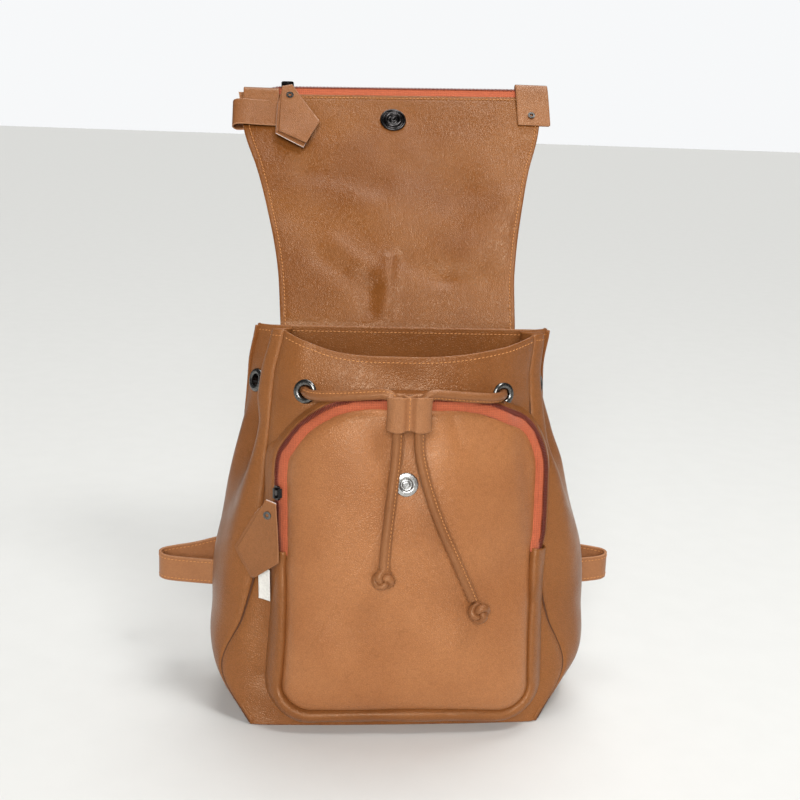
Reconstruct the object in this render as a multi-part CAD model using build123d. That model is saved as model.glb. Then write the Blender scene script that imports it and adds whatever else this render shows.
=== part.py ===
from build123d import *
import math
import os

os.makedirs("parts", exist_ok=True)

# A soft leather backpack that stands on its base with the flap folded up and back.
# Millimetres, +Z up, origin at the middle of the underside, front towards -Y.

# ---------------------------------------------------------------- driving dimensions
LEATHER = 2.0            # thickness of a body panel, leather with its backing
PLY = 1.2                # thickness of one ply of the flap and of the trim
GAP = 0.1                # air between stacked pieces of one body

BACK_RIM_Z = 307.0
FRONT_CORNER_Z = 312.0
FRONT_DIP_Z = 298.0
TOP_Z = 316.0            # height the body is lofted to before the rim is cut

# One row per height: z, front corner, front centre y, gusset ridge, gusset valley,
# gusset rear bulge, back corner. The left side is the mirror of these.
PROFILE = [
    (0, (117, -58), -61, (117, -30), (117, 0), (117, 28), (117, 52)),
    (36, (140, -40), -65, (149, -22), (152, 3), (148, 28), (136, 50)),
    (85, (124, -40), -68, (146, -24), (156, 4), (150, 30), (132, 48)),
    (130, (113, -38), -67, (140, -24), (153, 6), (148, 30), (131, 45)),
    (180, (108, -34), -63, (130, -22), (143, 6), (142, 28), (129, 41)),
    (228, (105, -28), -57, (119, -17), (122, 5), (129, 23), (125, 36)),
    (265, (102, -23), -51, (112, -12), (103, 4), (115, 20), (122, 33)),
    (TOP_Z, (98, -19), -44, (106, -9), (91, 4), (105, 18), (120, 30)),
]
WING_Z = 36              # the base panel turns up this far at the sides
FRONT_POWER = 3.0        # how late the front panel turns back towards its corners
FRONT_STEPS = 12
SIDE_STEPS = 4

POCKET_DEPTH = 15.0
POCKET_X = 6.0           # the pocket sits a little to the right of the middle
POCKET_ZIP_END_Z = 145.0
SNAP_Z = 207.0

FLAP_HINGE = (0.0, 33.8, 309.5)
FLAP_LEAN = 38.0         # degrees behind upright when the flap stands open
FLAP_FOLD_T = 118.0      # distance from the hinge to the fold over the front rim
FLAP_LENGTH = 236.0
FLAP_SNAP_T = 201.0
# distance from the hinge, half width; the far edge rises to the right
FLAP_EDGE = [(0, 96), (50, 99), (100, 107), (150, 118), (187, 129)]
FLAP_FAR_RIGHT = (240, 137)
FLAP_FAR_LEFT = (232, 135)
FLAP_SLANT = 8 / 272

GROMMET_Z = 269.0
GROMMET_X = 76.0
GROMMET_OD = 19.0
GROMMET_ID = 10.0
CORD_D = 7.0
KNOT_D = 17.0
TOGGLE = (33.0, 12.6, 26.0)
TOGGLE_CENTRE = (0.0, -78.7, 263.0)
TAIL_X = 8.0

STRAP_W = 22.0
STRAP_T = 2.6
UPPER_STRAP_W = 30.0


# ---------------------------------------------------------------- the body's cross-section
def mix(a, b, t):
    """Blend two numbers, or two points, at fraction t."""
    if isinstance(a, tuple):
        return tuple(mix(p, q, t) for p, q in zip(a, b))
    return a + (b - a) * t


def profile_at(z):
    """The profile row at any height."""
    for low, high in zip(PROFILE, PROFILE[1:]):
        if z <= high[0]:
            t = (z - low[0]) / (high[0] - low[0])
            return [mix(a, b, t) for a, b in zip(low, high)]
    return list(PROFILE[-1])


def front_y(x, z):
    """Outer surface of the front panel."""
    _, corner, centre_y, *_ = profile_at(z)
    return corner[1] + (centre_y - corner[1]) * (1 - abs(x / corner[0]) ** FRONT_POWER)


def back_y(z):
    """Outer surface of the back panel."""
    return profile_at(z)[6][1]


def smooth(points, steps):
    """Catmull-Rom points through a short list of points."""
    padded = [points[0]] + points + [points[-1]]
    result = []
    for p0, p1, p2, p3 in zip(padded, padded[1:], padded[2:], padded[3:]):
        for i in range(steps):
            t = i / steps
            result.append(tuple(
                0.5 * (2 * b + (c - a) * t + (2 * a - 5 * b + 4 * c - d) * t ** 2
                       + (3 * b - a - 3 * c + d) * t ** 3)
                for a, b, c, d in zip(p0, p1, p2, p3)))
    result.append(points[-1])
    return result


def outer_loop(z):
    """Outer outline at a height, with the index ranges of its four stretches."""
    _, corner, _, ridge, valley, rear, back = profile_at(z)
    xs = [corner[0] * (2 * i / FRONT_STEPS - 1) for i in range(FRONT_STEPS + 1)]
    front = [(x, front_y(x, z)) for x in xs]
    right = smooth([corner, ridge, valley, rear, back], SIDE_STEPS)
    left = [(-x, y) for x, y in reversed(right)]
    return front[:-1] + right + left[:-1]


N_SIDE = 4 * SIDE_STEPS
FRONT = (0, FRONT_STEPS)
RIGHT = (FRONT_STEPS, FRONT_STEPS + N_SIDE)
BACK = (RIGHT[1], RIGHT[1] + 1)
LEFT = (BACK[1], BACK[1] + N_SIDE)


def loop(z, inset=0.0):
    """The outline moved inwards by inset, or outwards if it is negative."""
    points = outer_loop(z)
    count = len(points)
    moved = []
    for i, (x, y) in enumerate(points):
        ax, ay = points[i - 1]
        bx, by = points[(i + 1) % count]
        n1 = Vector(-(y - ay), x - ax, 0).normalized()
        n2 = Vector(-(by - y), bx - x, 0).normalized()
        n = (n1 + n2).normalized()
        reach = inset / max(0.7, n.dot(n1))
        moved.append((x + n.X * reach, y + n.Y * reach))
    return moved


def levels(z_low, z_high):
    """The profile heights between two heights, both ends included."""
    inner = [row[0] for row in PROFILE if z_low < row[0] < z_high]
    return [z_low] + inner + [z_high]


def face_at(points, z):
    return make_face(Polyline(*[(x, y, z) for x, y in points], close=True))


def body_solid(inset, z_low, z_high):
    """Everything inside the outline moved in by inset."""
    return loft([face_at(loop(z, inset), z) for z in levels(z_low, z_high)], ruled=True)


def front_slab(depth):
    """From a plane inside the body to a copy of the front panel moved forward by depth."""
    sections = []
    for z in levels(0, TOP_Z):
        half = profile_at(z)[1][0]
        front = [(x, y - depth) for x, y in outer_loop(z)[:FRONT_STEPS + 1]]
        sections.append(face_at(front + [(half, 0), (-half, 0)], z))
    return loft(sections, ruled=True)


def panel(stretch, z_low, z_high, outside=0.0, inside=LEATHER):
    """A thin piece along one stretch of the outline."""
    start, stop = stretch
    sections = []
    for z in levels(z_low, z_high):
        outer = loop(z, outside)
        inner = loop(z, inside)
        outer.append(outer[0])
        inner.append(inner[0])
        ring = outer[start:stop + 1] + inner[start:stop + 1][::-1]
        sections.append(face_at(ring, z))
    return loft(sections, ruled=True)


def rim_cut():
    """What lies above the rim: an arc across the front, a slope along the sides."""
    reach = 200
    front_y0 = -120
    corner_x, corner_y = profile_at(FRONT_CORNER_Z)[1]
    high = TOP_Z + 10
    arc = ThreePointArc((-corner_x, FRONT_CORNER_Z), (0, FRONT_DIP_Z), (corner_x, FRONT_CORNER_Z))
    lid = Polyline((corner_x, FRONT_CORNER_Z), (corner_x, high), (-corner_x, high),
                   (-corner_x, FRONT_CORNER_Z))
    front_profile = make_face(arc + lid)
    front = extrude(Plane.XZ * front_profile, amount=-front_y0)
    keep_front = Pos(0, corner_y + (front_y0 - corner_y) / 2, 300) * Box(
        2 * corner_x, corner_y - front_y0, 300)
    side_profile = Polygon((corner_y, FRONT_CORNER_Z), (40, BACK_RIM_Z), (80, BACK_RIM_Z), (80, high),
                           (-90, high), (-90, FRONT_CORNER_Z), align=None)
    side = extrude(Plane.YZ * side_profile, amount=reach, both=True)
    return (front & keep_front) + side


RIM_CUT = rim_cut()
nodes = {}


# ---------------------------------------------------------------- body panels
def wall_frame(along, upward, point, out):
    """A frame on a wall from two directions that lie in it, standing off by out."""
    normal = along.cross(upward).normalized()
    return Plane(origin=point + normal * out, x_dir=along, z_dir=normal)


def front_frame(x):
    """On the front panel at the drawstring's height."""
    step = 2.0
    here = Vector(x, front_y(x, GROMMET_Z), GROMMET_Z)
    along = Vector(2 * step, front_y(x + step, GROMMET_Z) - front_y(x - step, GROMMET_Z), 0)
    upward = Vector(0, front_y(x, GROMMET_Z + step) - front_y(x, GROMMET_Z - step), 2 * step)
    return wall_frame(along, upward, here, 0.3)


def leg_middle(z):
    """The middle of the right gusset's rear leg."""
    profile = profile_at(z)
    return (Vector(*profile[4]) + Vector(*profile[6])) / 2 + Vector(0, 0, z)


def side_frame(sign):
    """On the rear leg of a gusset, a little below the front eyelets."""
    z = GROMMET_Z - 5
    step = 2.0
    profile = profile_at(z)
    along = Vector(*profile[6]) - Vector(*profile[4])
    upward = leg_middle(z + step) - leg_middle(z - step)
    right = wall_frame(along, upward, leg_middle(z), SIDE_STAND_OFF)
    if sign > 0:
        return right
    mirror = [Vector(-v.X, v.Y, v.Z) for v in (right.origin, right.x_dir, right.z_dir)]
    return Plane(origin=mirror[0], x_dir=mirror[1] * -1, z_dir=mirror[2])


SIDE_STAND_OFF = 1.9
SIDES = {"left": -1, "right": 1}
front_frames = {side: front_frame(sign * GROMMET_X) for side, sign in SIDES.items()}
side_frames = {side: side_frame(sign) for side, sign in SIDES.items()}
BARREL_OD = 12.0


def grommet_hole(frame):
    return frame.location * Cylinder(BARREL_OD / 2 + 0.05, 16)


def grommet(frame, grip):
    """A pressed eyelet: domed front flange and barrel, and a flat washer behind the leather."""
    rb, ro, ri = BARREL_OD / 2, GROMMET_OD / 2, GROMMET_ID / 2
    front = 0.4
    rear = -(LEATHER + grip)
    section = make_face(
        Polyline((ri, rear), (ri, front + 0.9)) + ThreePointArc(
            (ri, front + 0.9), ((ri + ro) / 2, front + 1.7), (ro, front)) + Polyline(
                (ro, front), (rb, front), (rb, rear), (ri, rear)))
    eyelet = revolve(Plane.XZ * section, Axis.Z)
    washer = Pos(0, 0, rear - 0.5) * (Cylinder(ro - 1.2, 0.9) - Cylinder(ri, 2))
    return frame.location * (eyelet + washer)


front_panel = panel(FRONT, 0, TOP_Z) - RIM_CUT
for frame in front_frames.values():
    front_panel -= grommet_hole(frame)
nodes["front_panel"] = front_panel
nodes["back_panel"] = panel(BACK, 0, TOP_Z) - RIM_CUT
for side, stretch in (("left", LEFT), ("right", RIGHT)):
    gusset = panel(stretch, WING_Z, TOP_Z) - RIM_CUT
    nodes[f"gusset_{side}"] = gusset - grommet_hole(side_frames[side])
    nodes[f"grommet_front_{side}"] = grommet(front_frames[side], 1.6)
    nodes[f"grommet_side_{side}"] = grommet(side_frames[side], 2.9)

base_plate = extrude(face_at(loop(0, LEATHER + 1.4), 0), amount=LEATHER, dir=(0, 0, 1))
for side in SIDES.values():
    base_plate += Pos(side * 110.5, -3, LEATHER / 2) * Box(11, 96, LEATHER)
nodes["base_panel"] = base_plate + panel(RIGHT, 0, WING_Z) + panel(LEFT, 0, WING_Z)

BOARD_T = 2.0
BOARD_Z = LEATHER + GAP
nodes["base_board"] = Pos(0, -2.5, BOARD_Z + BOARD_T / 2) * extrude(
    RectangleRounded(220, 100, 12), amount=BOARD_T / 2, both=True)

LINING_T = 0.8
LINING_IN = LEATHER + 0.4
LINING_TOP = 245.0
LINING_Z = BOARD_Z + BOARD_T + GAP
lining_outside = body_solid(LINING_IN, LINING_Z, LINING_TOP)
lining_inside = body_solid(LINING_IN + LINING_T, LINING_Z + LINING_T, LINING_TOP)
nodes["lining_bag"] = lining_outside - lining_inside


# ---------------------------------------------------------------- front pocket
def pocket_outline(y, half_low, half_high, z_low, z_high):
    """Arch outline of the pocket in one plane: rounded foot, round shoulders."""
    foot, shoulder = 22.0, 60.0
    corners = [(-half_low, z_low), (half_low, z_low), (half_high, z_high), (-half_high, z_high)]
    sheet = Polygon(*corners, align=None)
    by_height = sheet.vertices().group_by(Axis.Y)
    sheet = fillet(by_height[0], foot)
    sheet = fillet(sheet.vertices().group_by(Axis.Y)[-1], shoulder)
    return Plane(origin=(POCKET_X, y, 0), x_dir=(1, 0, 0), z_dir=(0, -1, 0)) * sheet


def pocket_block(shrink, depth):
    """The pocket as a solid lump with sloping sides, shrunk on all sides."""
    behind = pocket_outline(-20, 122 - shrink, 107 - shrink, -18 + shrink, 268 - shrink)
    ahead = pocket_outline(-100, 84 - shrink, 74 - shrink, 36 + shrink, 258 - shrink)
    wedge = loft([behind.face(), ahead.face()], ruled=True)
    return wedge & front_slab(depth)


pocket_outer = pocket_block(0, POCKET_DEPTH)
pocket_inner = pocket_block(LEATHER, POCKET_DEPTH - LEATHER)
panel_front = front_slab(GAP)
pocket_shell = pocket_outer - pocket_inner - panel_front
face_zone = pocket_outer - front_slab(POCKET_DEPTH - LEATHER)
nodes["pocket_face"] = pocket_shell & face_zone
wall = pocket_shell & front_slab(POCKET_DEPTH - LEATHER)
below_zip = Pos(0, -60, POCKET_ZIP_END_Z / 2 - 100) * Box(400, 200, POCKET_ZIP_END_Z + 200)
nodes["pocket_gusset"] = wall & below_zip
zip_wall = wall - below_zip

COIL_IN, COIL_OUT = 5.0, 8.0
coil_band = pocket_block(-1.4, COIL_OUT) - pocket_block(0.6, COIL_OUT + 1) - front_slab(COIL_IN)
coil_top = Pos(0, -60, POCKET_ZIP_END_Z + 101) * Box(400, 200, 200)
nodes["pocket_zip_coil"] = coil_band & coil_top
nodes["pocket_zip_tape"] = zip_wall - coil_band


def face_point(x, z, out=0.0):
    """A point on the pocket's face, moved forward by out."""
    return (x, front_y(x, z) - POCKET_DEPTH - out, z)


def face_plane(x, z, out):
    """A plane on the pocket's face, tilted as the face leans."""
    step = 5
    lean = (front_y(x, z + step) - front_y(x, z - step)) / (2 * step)
    return Plane(origin=face_point(x, z, out), x_dir=(1, 0, 0), z_dir=(0, -1, lean))


SNAP_OD = 18.0


def turned(points, place):
    """A turned piece from its half section, given as radius and height pairs."""
    section = make_face(Polyline(*points, close=True))
    return place * revolve(Plane.XZ * section, Axis.Z)


nodes["pocket_snap"] = turned(
    [(0, 0), (SNAP_OD / 2, 0), (SNAP_OD / 2, 0.9), (7.6, 1.6), (2.8, 1.6), (2.8, 3.4), (2.2, 3.8), (0, 3.8)],
    face_plane(0, SNAP_Z, 0.15).location)

LABEL = (11.0, 0.8, 26.0)
nodes["pocket_label"] = Pos(-105.5, -52.5, 118) * Rot(0, 0, -38) * Box(*LABEL)


# ---------------------------------------------------------------- zip hardware
SLIDER = (8.0, 11.0, 1.8)       # across the teeth, along them, thickness
SLIDER_LIP = 1.3
PULL_PLIES = 2.6
PULL_LENGTH = 62.0
PULL_EYELET_S = 9.0


def slider(place):
    """A slider that rides above the teeth: plate, two lips and a bridge."""
    across, along, thick = SLIDER
    plate = Pos(0, 0, thick / 2) * Box(across, along, thick)
    plate = fillet(plate.edges().filter_by(Axis.Z), 2.0)
    lips = [Pos(sign * (across - SLIDER_LIP) / 2, 0, -0.8) * Box(SLIDER_LIP, along - 4, 1.6) for sign in (-1, 1)]
    bridge = Pos(0, 0, thick + 1.1) * (Box(2.4, 8, 2.2) - Pos(0, 0, -0.3) * Box(3, 4.4, 1.6))
    return place * (plate + lips[0] + lips[1] + bridge)


def kite(place):
    """A two-ply leather pull: narrow at the slider, wide below, ending in a point."""
    outline = Polygon((-4.5, 2), (4.5, 2), (18.5, -42), (1.5, -PULL_LENGTH), (-18.5, -44), align=None)
    tab = extrude(outline, amount=PULL_PLIES, dir=(0, 0, 1))
    tab -= Pos(0, -PULL_EYELET_S, 0) * Cylinder(2.0, 10)
    return place * tab


def eyelet(place, low, high, hole=1.4, barrel=1.9, flange=3.2):
    """A small tubular rivet with a flange at each end of its grip."""
    return turned([(hole, low - 0.6), (flange, low - 0.6), (flange, low - 0.05), (barrel, low - 0.05),
                   (barrel, high + 0.05), (flange, high + 0.05), (flange, high + 0.6), (hole, high + 0.6)], place)


SLIDER_Z = 192.0
SLIDER_LOW_Z = 160.0


def left_leg(z, out):
    """A point over the teeth on the pocket's left leg, moved outwards by out."""
    behind = mix(122, 107, (z + 18) / 286)
    ahead = mix(84, 74, (z - 36) / 222)
    half = 97.0
    for _ in range(6):
        y = front_y(half - POCKET_X, z) - (COIL_IN + COIL_OUT) / 2
        half = mix(behind, ahead, (-20 - y) / 80)
    return Vector(POCKET_X - half - 0.92 * out, y - 0.39 * out, z)


leg_dir = (left_leg(SLIDER_Z, 0) - left_leg(SLIDER_LOW_Z, 0)).normalized()
wall_out = Vector(-0.92, -0.39, 0)
across_leg = leg_dir.cross(wall_out).normalized()
pocket_slider_plane = Plane(origin=left_leg(SLIDER_Z, 3.4), x_dir=across_leg, z_dir=across_leg.cross(leg_dir))
nodes["pocket_zip_slider"] = slider(pocket_slider_plane.location)

POCKET_PULL_HINGE = (-100.5, -59.5, 186.0)
pocket_pull_plane = Plane(origin=POCKET_PULL_HINGE, x_dir=(0.89, -0.456, 0), z_dir=(-0.456, -0.89, 0))
pocket_pull_place = pocket_pull_plane.location * Rot(0, 0, -13)
nodes["pocket_zip_pull"] = kite(pocket_pull_place)
nodes["pocket_pull_eyelet"] = eyelet(pocket_pull_place * Pos(0, -PULL_EYELET_S, 0), 0, PULL_PLIES)


# ---------------------------------------------------------------- flap
lean = math.radians(FLAP_LEAN)
# Flap frame: x across, y away from the hinge along the flap, z out of its inner side.
FLAP = Plane(origin=FLAP_HINGE, x_dir=(1, 0, 0), z_dir=(0, -math.cos(lean), math.sin(lean)))
INNER_PLY = (0.1, 0.1 + PLY)
OUTER_PLY = (-0.1 - PLY, -0.1)
FLAP_ROOT_T = 0.8
INNER_FOLD_GAP = 0.9
OUTER_FOLD_GAP = 1.8
INNER_END_T = 228.3
ZIP_TAPE_END_T = 234.0
LEFT_RIVET = (-107.0, 200.0)
RIGHT_RIVET = (124.0, 209.5)
RIVET_HOLE_R = 2.0


def flap_sheet(t_low, t_high, ply, slant=0.0):
    """One ply of the flap between two distances from the hinge, the further one on a slant."""
    right = Spline(*[(half, t) for t, half in FLAP_EDGE + [FLAP_FAR_RIGHT]])
    left = Spline(*[(-half, t) for t, half in FLAP_EDGE + [FLAP_FAR_LEFT]])
    top = Line(right @ 1, left @ 1)
    bottom = Line(right @ 0, left @ 0)
    outline = make_face(right + top + left + bottom)
    sheet = extrude(Pos(0, 0, ply[0]) * outline, amount=ply[1] - ply[0])
    reach = 200
    keep = Polygon((-reach, t_low), (reach, t_low), (reach, t_high + reach * slant),
                   (-reach, t_high - reach * slant), align=None)
    return sheet & extrude(keep, amount=10, both=True)


def flap_place(shape):
    return FLAP.location * shape


def rivet_hole(at):
    return Pos(at[0], at[1], 0) * Cylinder(RIVET_HOLE_R, 20)


# The hinge is on the inner face, so the plies part as the flap shuts and close up as it leans back.
inner_low, inner_high = FLAP_FOLD_T - INNER_FOLD_GAP / 2, FLAP_FOLD_T + INNER_FOLD_GAP / 2
outer_low, outer_high = FLAP_FOLD_T - OUTER_FOLD_GAP / 2, FLAP_FOLD_T + OUTER_FOLD_GAP / 2
nodes["flap_inner_top"] = flap_place(flap_sheet(FLAP_ROOT_T, inner_low, INNER_PLY))
nodes["flap_outer_top"] = flap_place(flap_sheet(FLAP_ROOT_T, outer_low, OUTER_PLY))
holes = rivet_hole(LEFT_RIVET) + rivet_hole(RIGHT_RIVET)
nodes["flap_inner_front"] = flap_place(flap_sheet(inner_high, INNER_END_T, INNER_PLY, FLAP_SLANT) - holes)
nodes["flap_outer_front"] = flap_place(flap_sheet(outer_high, FLAP_LENGTH + 20, OUTER_PLY) - holes)

nodes["flap_snap"] = turned(
    [(3.0, 0), (SNAP_OD / 2, 0), (SNAP_OD / 2, 2.2), (8.2, 3.0), (6.9, 3.0), (6.5, 2.3), (3.0, 2.3)],
    FLAP.location * Pos(0, FLAP_SNAP_T, INNER_PLY[1] + GAP))

ZIP_HALF = 110.0
COIL_D = 2.6
COIL_T = 235.4
ALONG_ZIP = Rot(0, 0, math.degrees(math.atan(FLAP_SLANT)))
tape_t = (INNER_END_T + 0.2 + ZIP_TAPE_END_T) / 2
nodes["flap_zip_tape"] = flap_place(
    Pos(0, tape_t, 0.45) * ALONG_ZIP * Box(2 * ZIP_HALF, ZIP_TAPE_END_T - INNER_END_T - 0.2, 0.9))
nodes["flap_zip_coil"] = flap_place(
    Pos(0, COIL_T, COIL_D / 2 + 0.02) * ALONG_ZIP * Rot(0, 90, 0) * Cylinder(COIL_D / 2, 2 * ZIP_HALF))


def folded_strip(x_low, x_high, t_low, t_high, front_n, fold_side):
    """A leather strip folded round one edge of the flap, front ply and back ply joined."""
    back_n = OUTER_PLY[0] - GAP - PLY
    width, height = x_high - x_low, t_high - t_low
    depth = front_n + PLY - back_n
    centre = Pos((x_low + x_high) / 2, (t_low + t_high) / 2, (front_n + PLY + back_n) / 2)
    block = Box(width, height, depth)
    hollow = Box(width, height, depth - 2 * PLY)
    if fold_side == "left":
        block = fillet(block.edges().filter_by(Axis.Y).group_by(Axis.X)[0], 2.4)
        shift = Pos(PLY, 0, 0)
    else:
        block = fillet(block.edges().filter_by(Axis.X).group_by(Axis.Y)[-1], 2.4)
        shift = Pos(0, -PLY, 0)
    return centre * (block - shift * hollow)


FRONT_N_LOW = INNER_PLY[1] + GAP
FRONT_N_HIGH = 3.0
nodes["flap_left_loop"] = flap_place(
    folded_strip(-139, -98, 190, 216, FRONT_N_LOW, "left") - rivet_hole(LEFT_RIVET))
nodes["flap_left_end_tab"] = flap_place(folded_strip(-131, -101, 218, 237, FRONT_N_HIGH, "end"))
nodes["flap_right_tab"] = flap_place(
    folded_strip(107, 140, 200.5, 244.5, FRONT_N_HIGH, "end") - rivet_hole(RIGHT_RIVET))
rivet_low = OUTER_PLY[0] - GAP - PLY
nodes["flap_rivets"] = eyelet(FLAP.location * Pos(*LEFT_RIVET, 0), rivet_low, FRONT_N_LOW + PLY) + eyelet(
    FLAP.location * Pos(*RIGHT_RIVET, 0), rivet_low, FRONT_N_HIGH + PLY)

FLAP_SLIDER_X = -93.0
slider_t = COIL_T + FLAP_SLANT * FLAP_SLIDER_X
nodes["flap_zip_slider"] = slider(
    FLAP.location * Pos(FLAP_SLIDER_X, slider_t, COIL_D + 0.4) * ALONG_ZIP * Rot(0, 0, 90))
FLAP_PULL_HINGE = (FLAP_SLIDER_X, slider_t - 5.4, 7.6)
flap_pull_place = FLAP.location * Pos(*FLAP_PULL_HINGE) * Rot(0, 0, 14) * Pos(0, 0, -PULL_PLIES / 2)
nodes["flap_zip_pull"] = kite(flap_pull_place)
nodes["flap_pull_eyelet"] = eyelet(flap_pull_place * Pos(0, -PULL_EYELET_S, 0), 0, PULL_PLIES)


def back_patch(z_low, z_high, half_width, thickness, off=GAP):
    """A flat piece sewn on the outside of the back panel."""
    y_low, y_high = back_y(z_low) + off, back_y(z_high) + off
    side = Polygon((y_low, z_low), (y_low + thickness, z_low), (y_high + thickness, z_high),
                   (y_high, z_high), align=None)
    return extrude(Plane.YZ * side, amount=half_width, both=True)


nodes["flap_anchor"] = back_patch(276, 306.5, FLAP_EDGE[0][1], 2.6)
PATCH_T = 1.5
nodes["strap_anchor_patch"] = back_patch(236, 273, 48, PATCH_T)


# ---------------------------------------------------------------- drawstring
exit_left = front_frames["left"].origin
GROMMET_EXIT = (-exit_left.X, exit_left.Y, exit_left.Z)
# Right-hand route of the free cord, from the grommet to the toggle and down to the knot.
RIGHT_ROUTE = [GROMMET_EXIT, (73.8, -51, 269.6), (64.5, -60.5, 270.8), (48, -67.5, 273), (30, -73, 275.6),
               (14.5, -77, 277.8),
               (8, -78.5, 268), (8, -78.7, 250), (8.6, -79.3, 232), (15.5, -82.8, 206),
               (26, -86.5, 178), (39.5, -89.2, 150), (52.5, -91, 121)]
LEFT_ROUTE = [(-x, y, z) for x, y, z in RIGHT_ROUTE[:8]] + [
    (-8.2, -79.2, 232), (-10.4, -82.2, 208), (-13, -85.5, 182), (-15.2, -88.6, 158), (-15.9, -90.5, 142)]
KNOTS = {"left": (-16.2, -91, 137.5), "right": (57.3, -92, 111)}
first_inside = tuple(2 * a - b for a, b in zip(GROMMET_EXIT, RIGHT_ROUTE[1]))
HALF_INNER = [GROMMET_EXIT, first_inside, (82.5, -15, 267.8), (82.5, 1, 268), (77.5, 14.5, 268),
              (64, 22, 268), (45, 24.6, 268.2), (20, 25.6, 268.5)]
INNER_ROUTE = HALF_INNER + [(-x, y, z) for x, y, z in reversed(HALF_INNER)]


def cord(route, name):
    """A round tube along straight runs joined by the largest tangent arcs that fit."""
    points = [Vector(*p) for p in route]
    radii = []
    for a, b, c in zip(points, points[1:], points[2:]):
        run_in, run_out = b - a, c - b
        half_turn = math.radians(run_in.get_angle(run_out)) / 2
        radii.append(0.45 * min(run_in.length, run_out.length) / math.tan(half_turn))
    path = FilletPolyline(*points, radius=radii)
    start = Plane(origin=points[0], z_dir=points[1] - points[0])
    tube = sweep(start * Circle(CORD_D / 2), path=path)
    expected = math.pi * CORD_D ** 2 / 4 * path.length
    print(name, "length", round(path.length, 1), "radii", [round(r) for r in radii],
          "volume ratio", round(tube.volume / expected, 4))
    return tube


nodes["cord_right"] = cord(RIGHT_ROUTE, "cord_right")
nodes["cord_left"] = cord(LEFT_ROUTE, "cord_left")
nodes["cord_inner_run"] = cord(INNER_ROUTE, "cord_inner_run")
for side, centre in KNOTS.items():
    nodes[f"knot_{side}"] = Pos(*centre) * Sphere(KNOT_D / 2)


def toggle():
    """Two leather tubes side by side, stitched between, notched where the cords come in."""
    wide, deep, high = TOGGLE
    lobe = RectangleRounded(wide / 2 - 0.1, deep, deep / 2 - 0.4)
    outline = Pos(-TAIL_X - 0.2, 0) * lobe + Pos(TAIL_X + 0.2, 0) * lobe + Rectangle(3, 4)
    for sign in (-1, 1):
        outline -= Pos(sign * TAIL_X, 0) * Circle(CORD_D / 2 + 1.3)
    body = extrude(outline, amount=high / 2, both=True)
    for sign in (-1, 1):
        body -= Pos(sign * (TAIL_X + 5.5), 0, high / 2 - 3.5) * Box(13, CORD_D + 3.6, 14)
    return Pos(*TOGGLE_CENTRE) * body


nodes["toggle"] = toggle()


# ---------------------------------------------------------------- straps
RUN_START = (165.0, 82.0, 91.0)
RUN_END = (95.0, 90.0, 107.0)
ADJUSTER_AT = tuple(mix(RUN_START, RUN_END, 0.5))
OUT_RUN = [(112, 50.0, 85), (134, 50.6, 85), (160, 55, 85), (186, 60, 85.5), (195, 64, 86),
           (198, 70, 86.7), (195, 76, 87.4), (184, 79.8, 88.4)]
LOWER_STRAP = OUT_RUN + [RUN_START, ADJUSTER_AT, RUN_END, (79, 92, 120), (68, 93.5, 139)]
UPPER_STRAP = [(73, 96.6, 129), (63, 98, 155), (53, 96, 182), (44, 88, 208), (36, 74, 232),
               (31, 57, 248), (29, 44.5, 257), (28.3, 38.4, 264), (28.2, 36.3, 271)]


def strap(route, width, sign, upright):
    """A flat strap lofted along its route; its first points may stand upright on edge."""
    points = [Vector(sign * x, y, z) for x, y, z in route]
    sections = []
    for i, point in enumerate(points):
        before = points[max(i - 1, 0)]
        after = points[min(i + 1, len(points) - 1)]
        along = (after - before).normalized()
        across = Vector(0, 0, 1) if i < upright else Vector(0, 1, 0).cross(along) * -sign
        across = (across - along * across.dot(along)).normalized()
        if across.Z < 0 and i < upright + 3:
            across = across * -1
        plane = Plane(origin=point, x_dir=across, z_dir=along)
        sections.append(plane * Rectangle(width, STRAP_T))
    return loft([s.face() for s in sections], ruled=True)


def adjuster(sign):
    """A box buckle that the lower strap runs through."""
    a, b = (Vector(sign * p[0], p[1], p[2]) for p in (RUN_START, RUN_END))
    along = (b - a).normalized()
    across = Vector(0, 1, 0).cross(along).normalized()
    plane = Plane(origin=(a + b) / 2, x_dir=across, z_dir=along)
    frame = extrude(RectangleRounded(STRAP_W + 6, STRAP_T + 5, 2.2) - Rectangle(STRAP_W + 1.2, STRAP_T + 1.2),
                    amount=5, both=True)
    return plane.location * frame


for side, sign in (("left", -1), ("right", 1)):
    nodes[f"strap_lower_{side}"] = strap(LOWER_STRAP, STRAP_W, sign, len(OUT_RUN))
    nodes[f"strap_upper_{side}"] = strap(UPPER_STRAP, UPPER_STRAP_W, sign, 0)
    nodes[f"strap_adjuster_{side}"] = adjuster(sign)

HAUL_W = 16.0
HAUL_T = 2.0
HAUL_SIDE = [(38.9, 263.0), (43.9, 263.6), (50.5, 238), (48, 212), (38.9, 211)]

haul_outline = Polygon(*HAUL_SIDE, align=None)
haul_outline = fillet(haul_outline.vertices(), 2.2)
haul_ring = haul_outline - offset(haul_outline, -HAUL_T)
nodes["haul_loop"] = extrude(Plane.YZ * haul_ring, amount=HAUL_W / 2, both=True)

for name, shape in nodes.items():
    shape.label = name
    export_step(shape, f"parts/{name}.step")
print(len(nodes), "nodes")
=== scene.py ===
"""Looks of a leather drawstring backpack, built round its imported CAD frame.

Shapes are worked out in millimetres in the part's own frame and become metres in add_mesh.
"""
import math

import bpy
import numpy as np
from mathutils import Matrix, Vector


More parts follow.
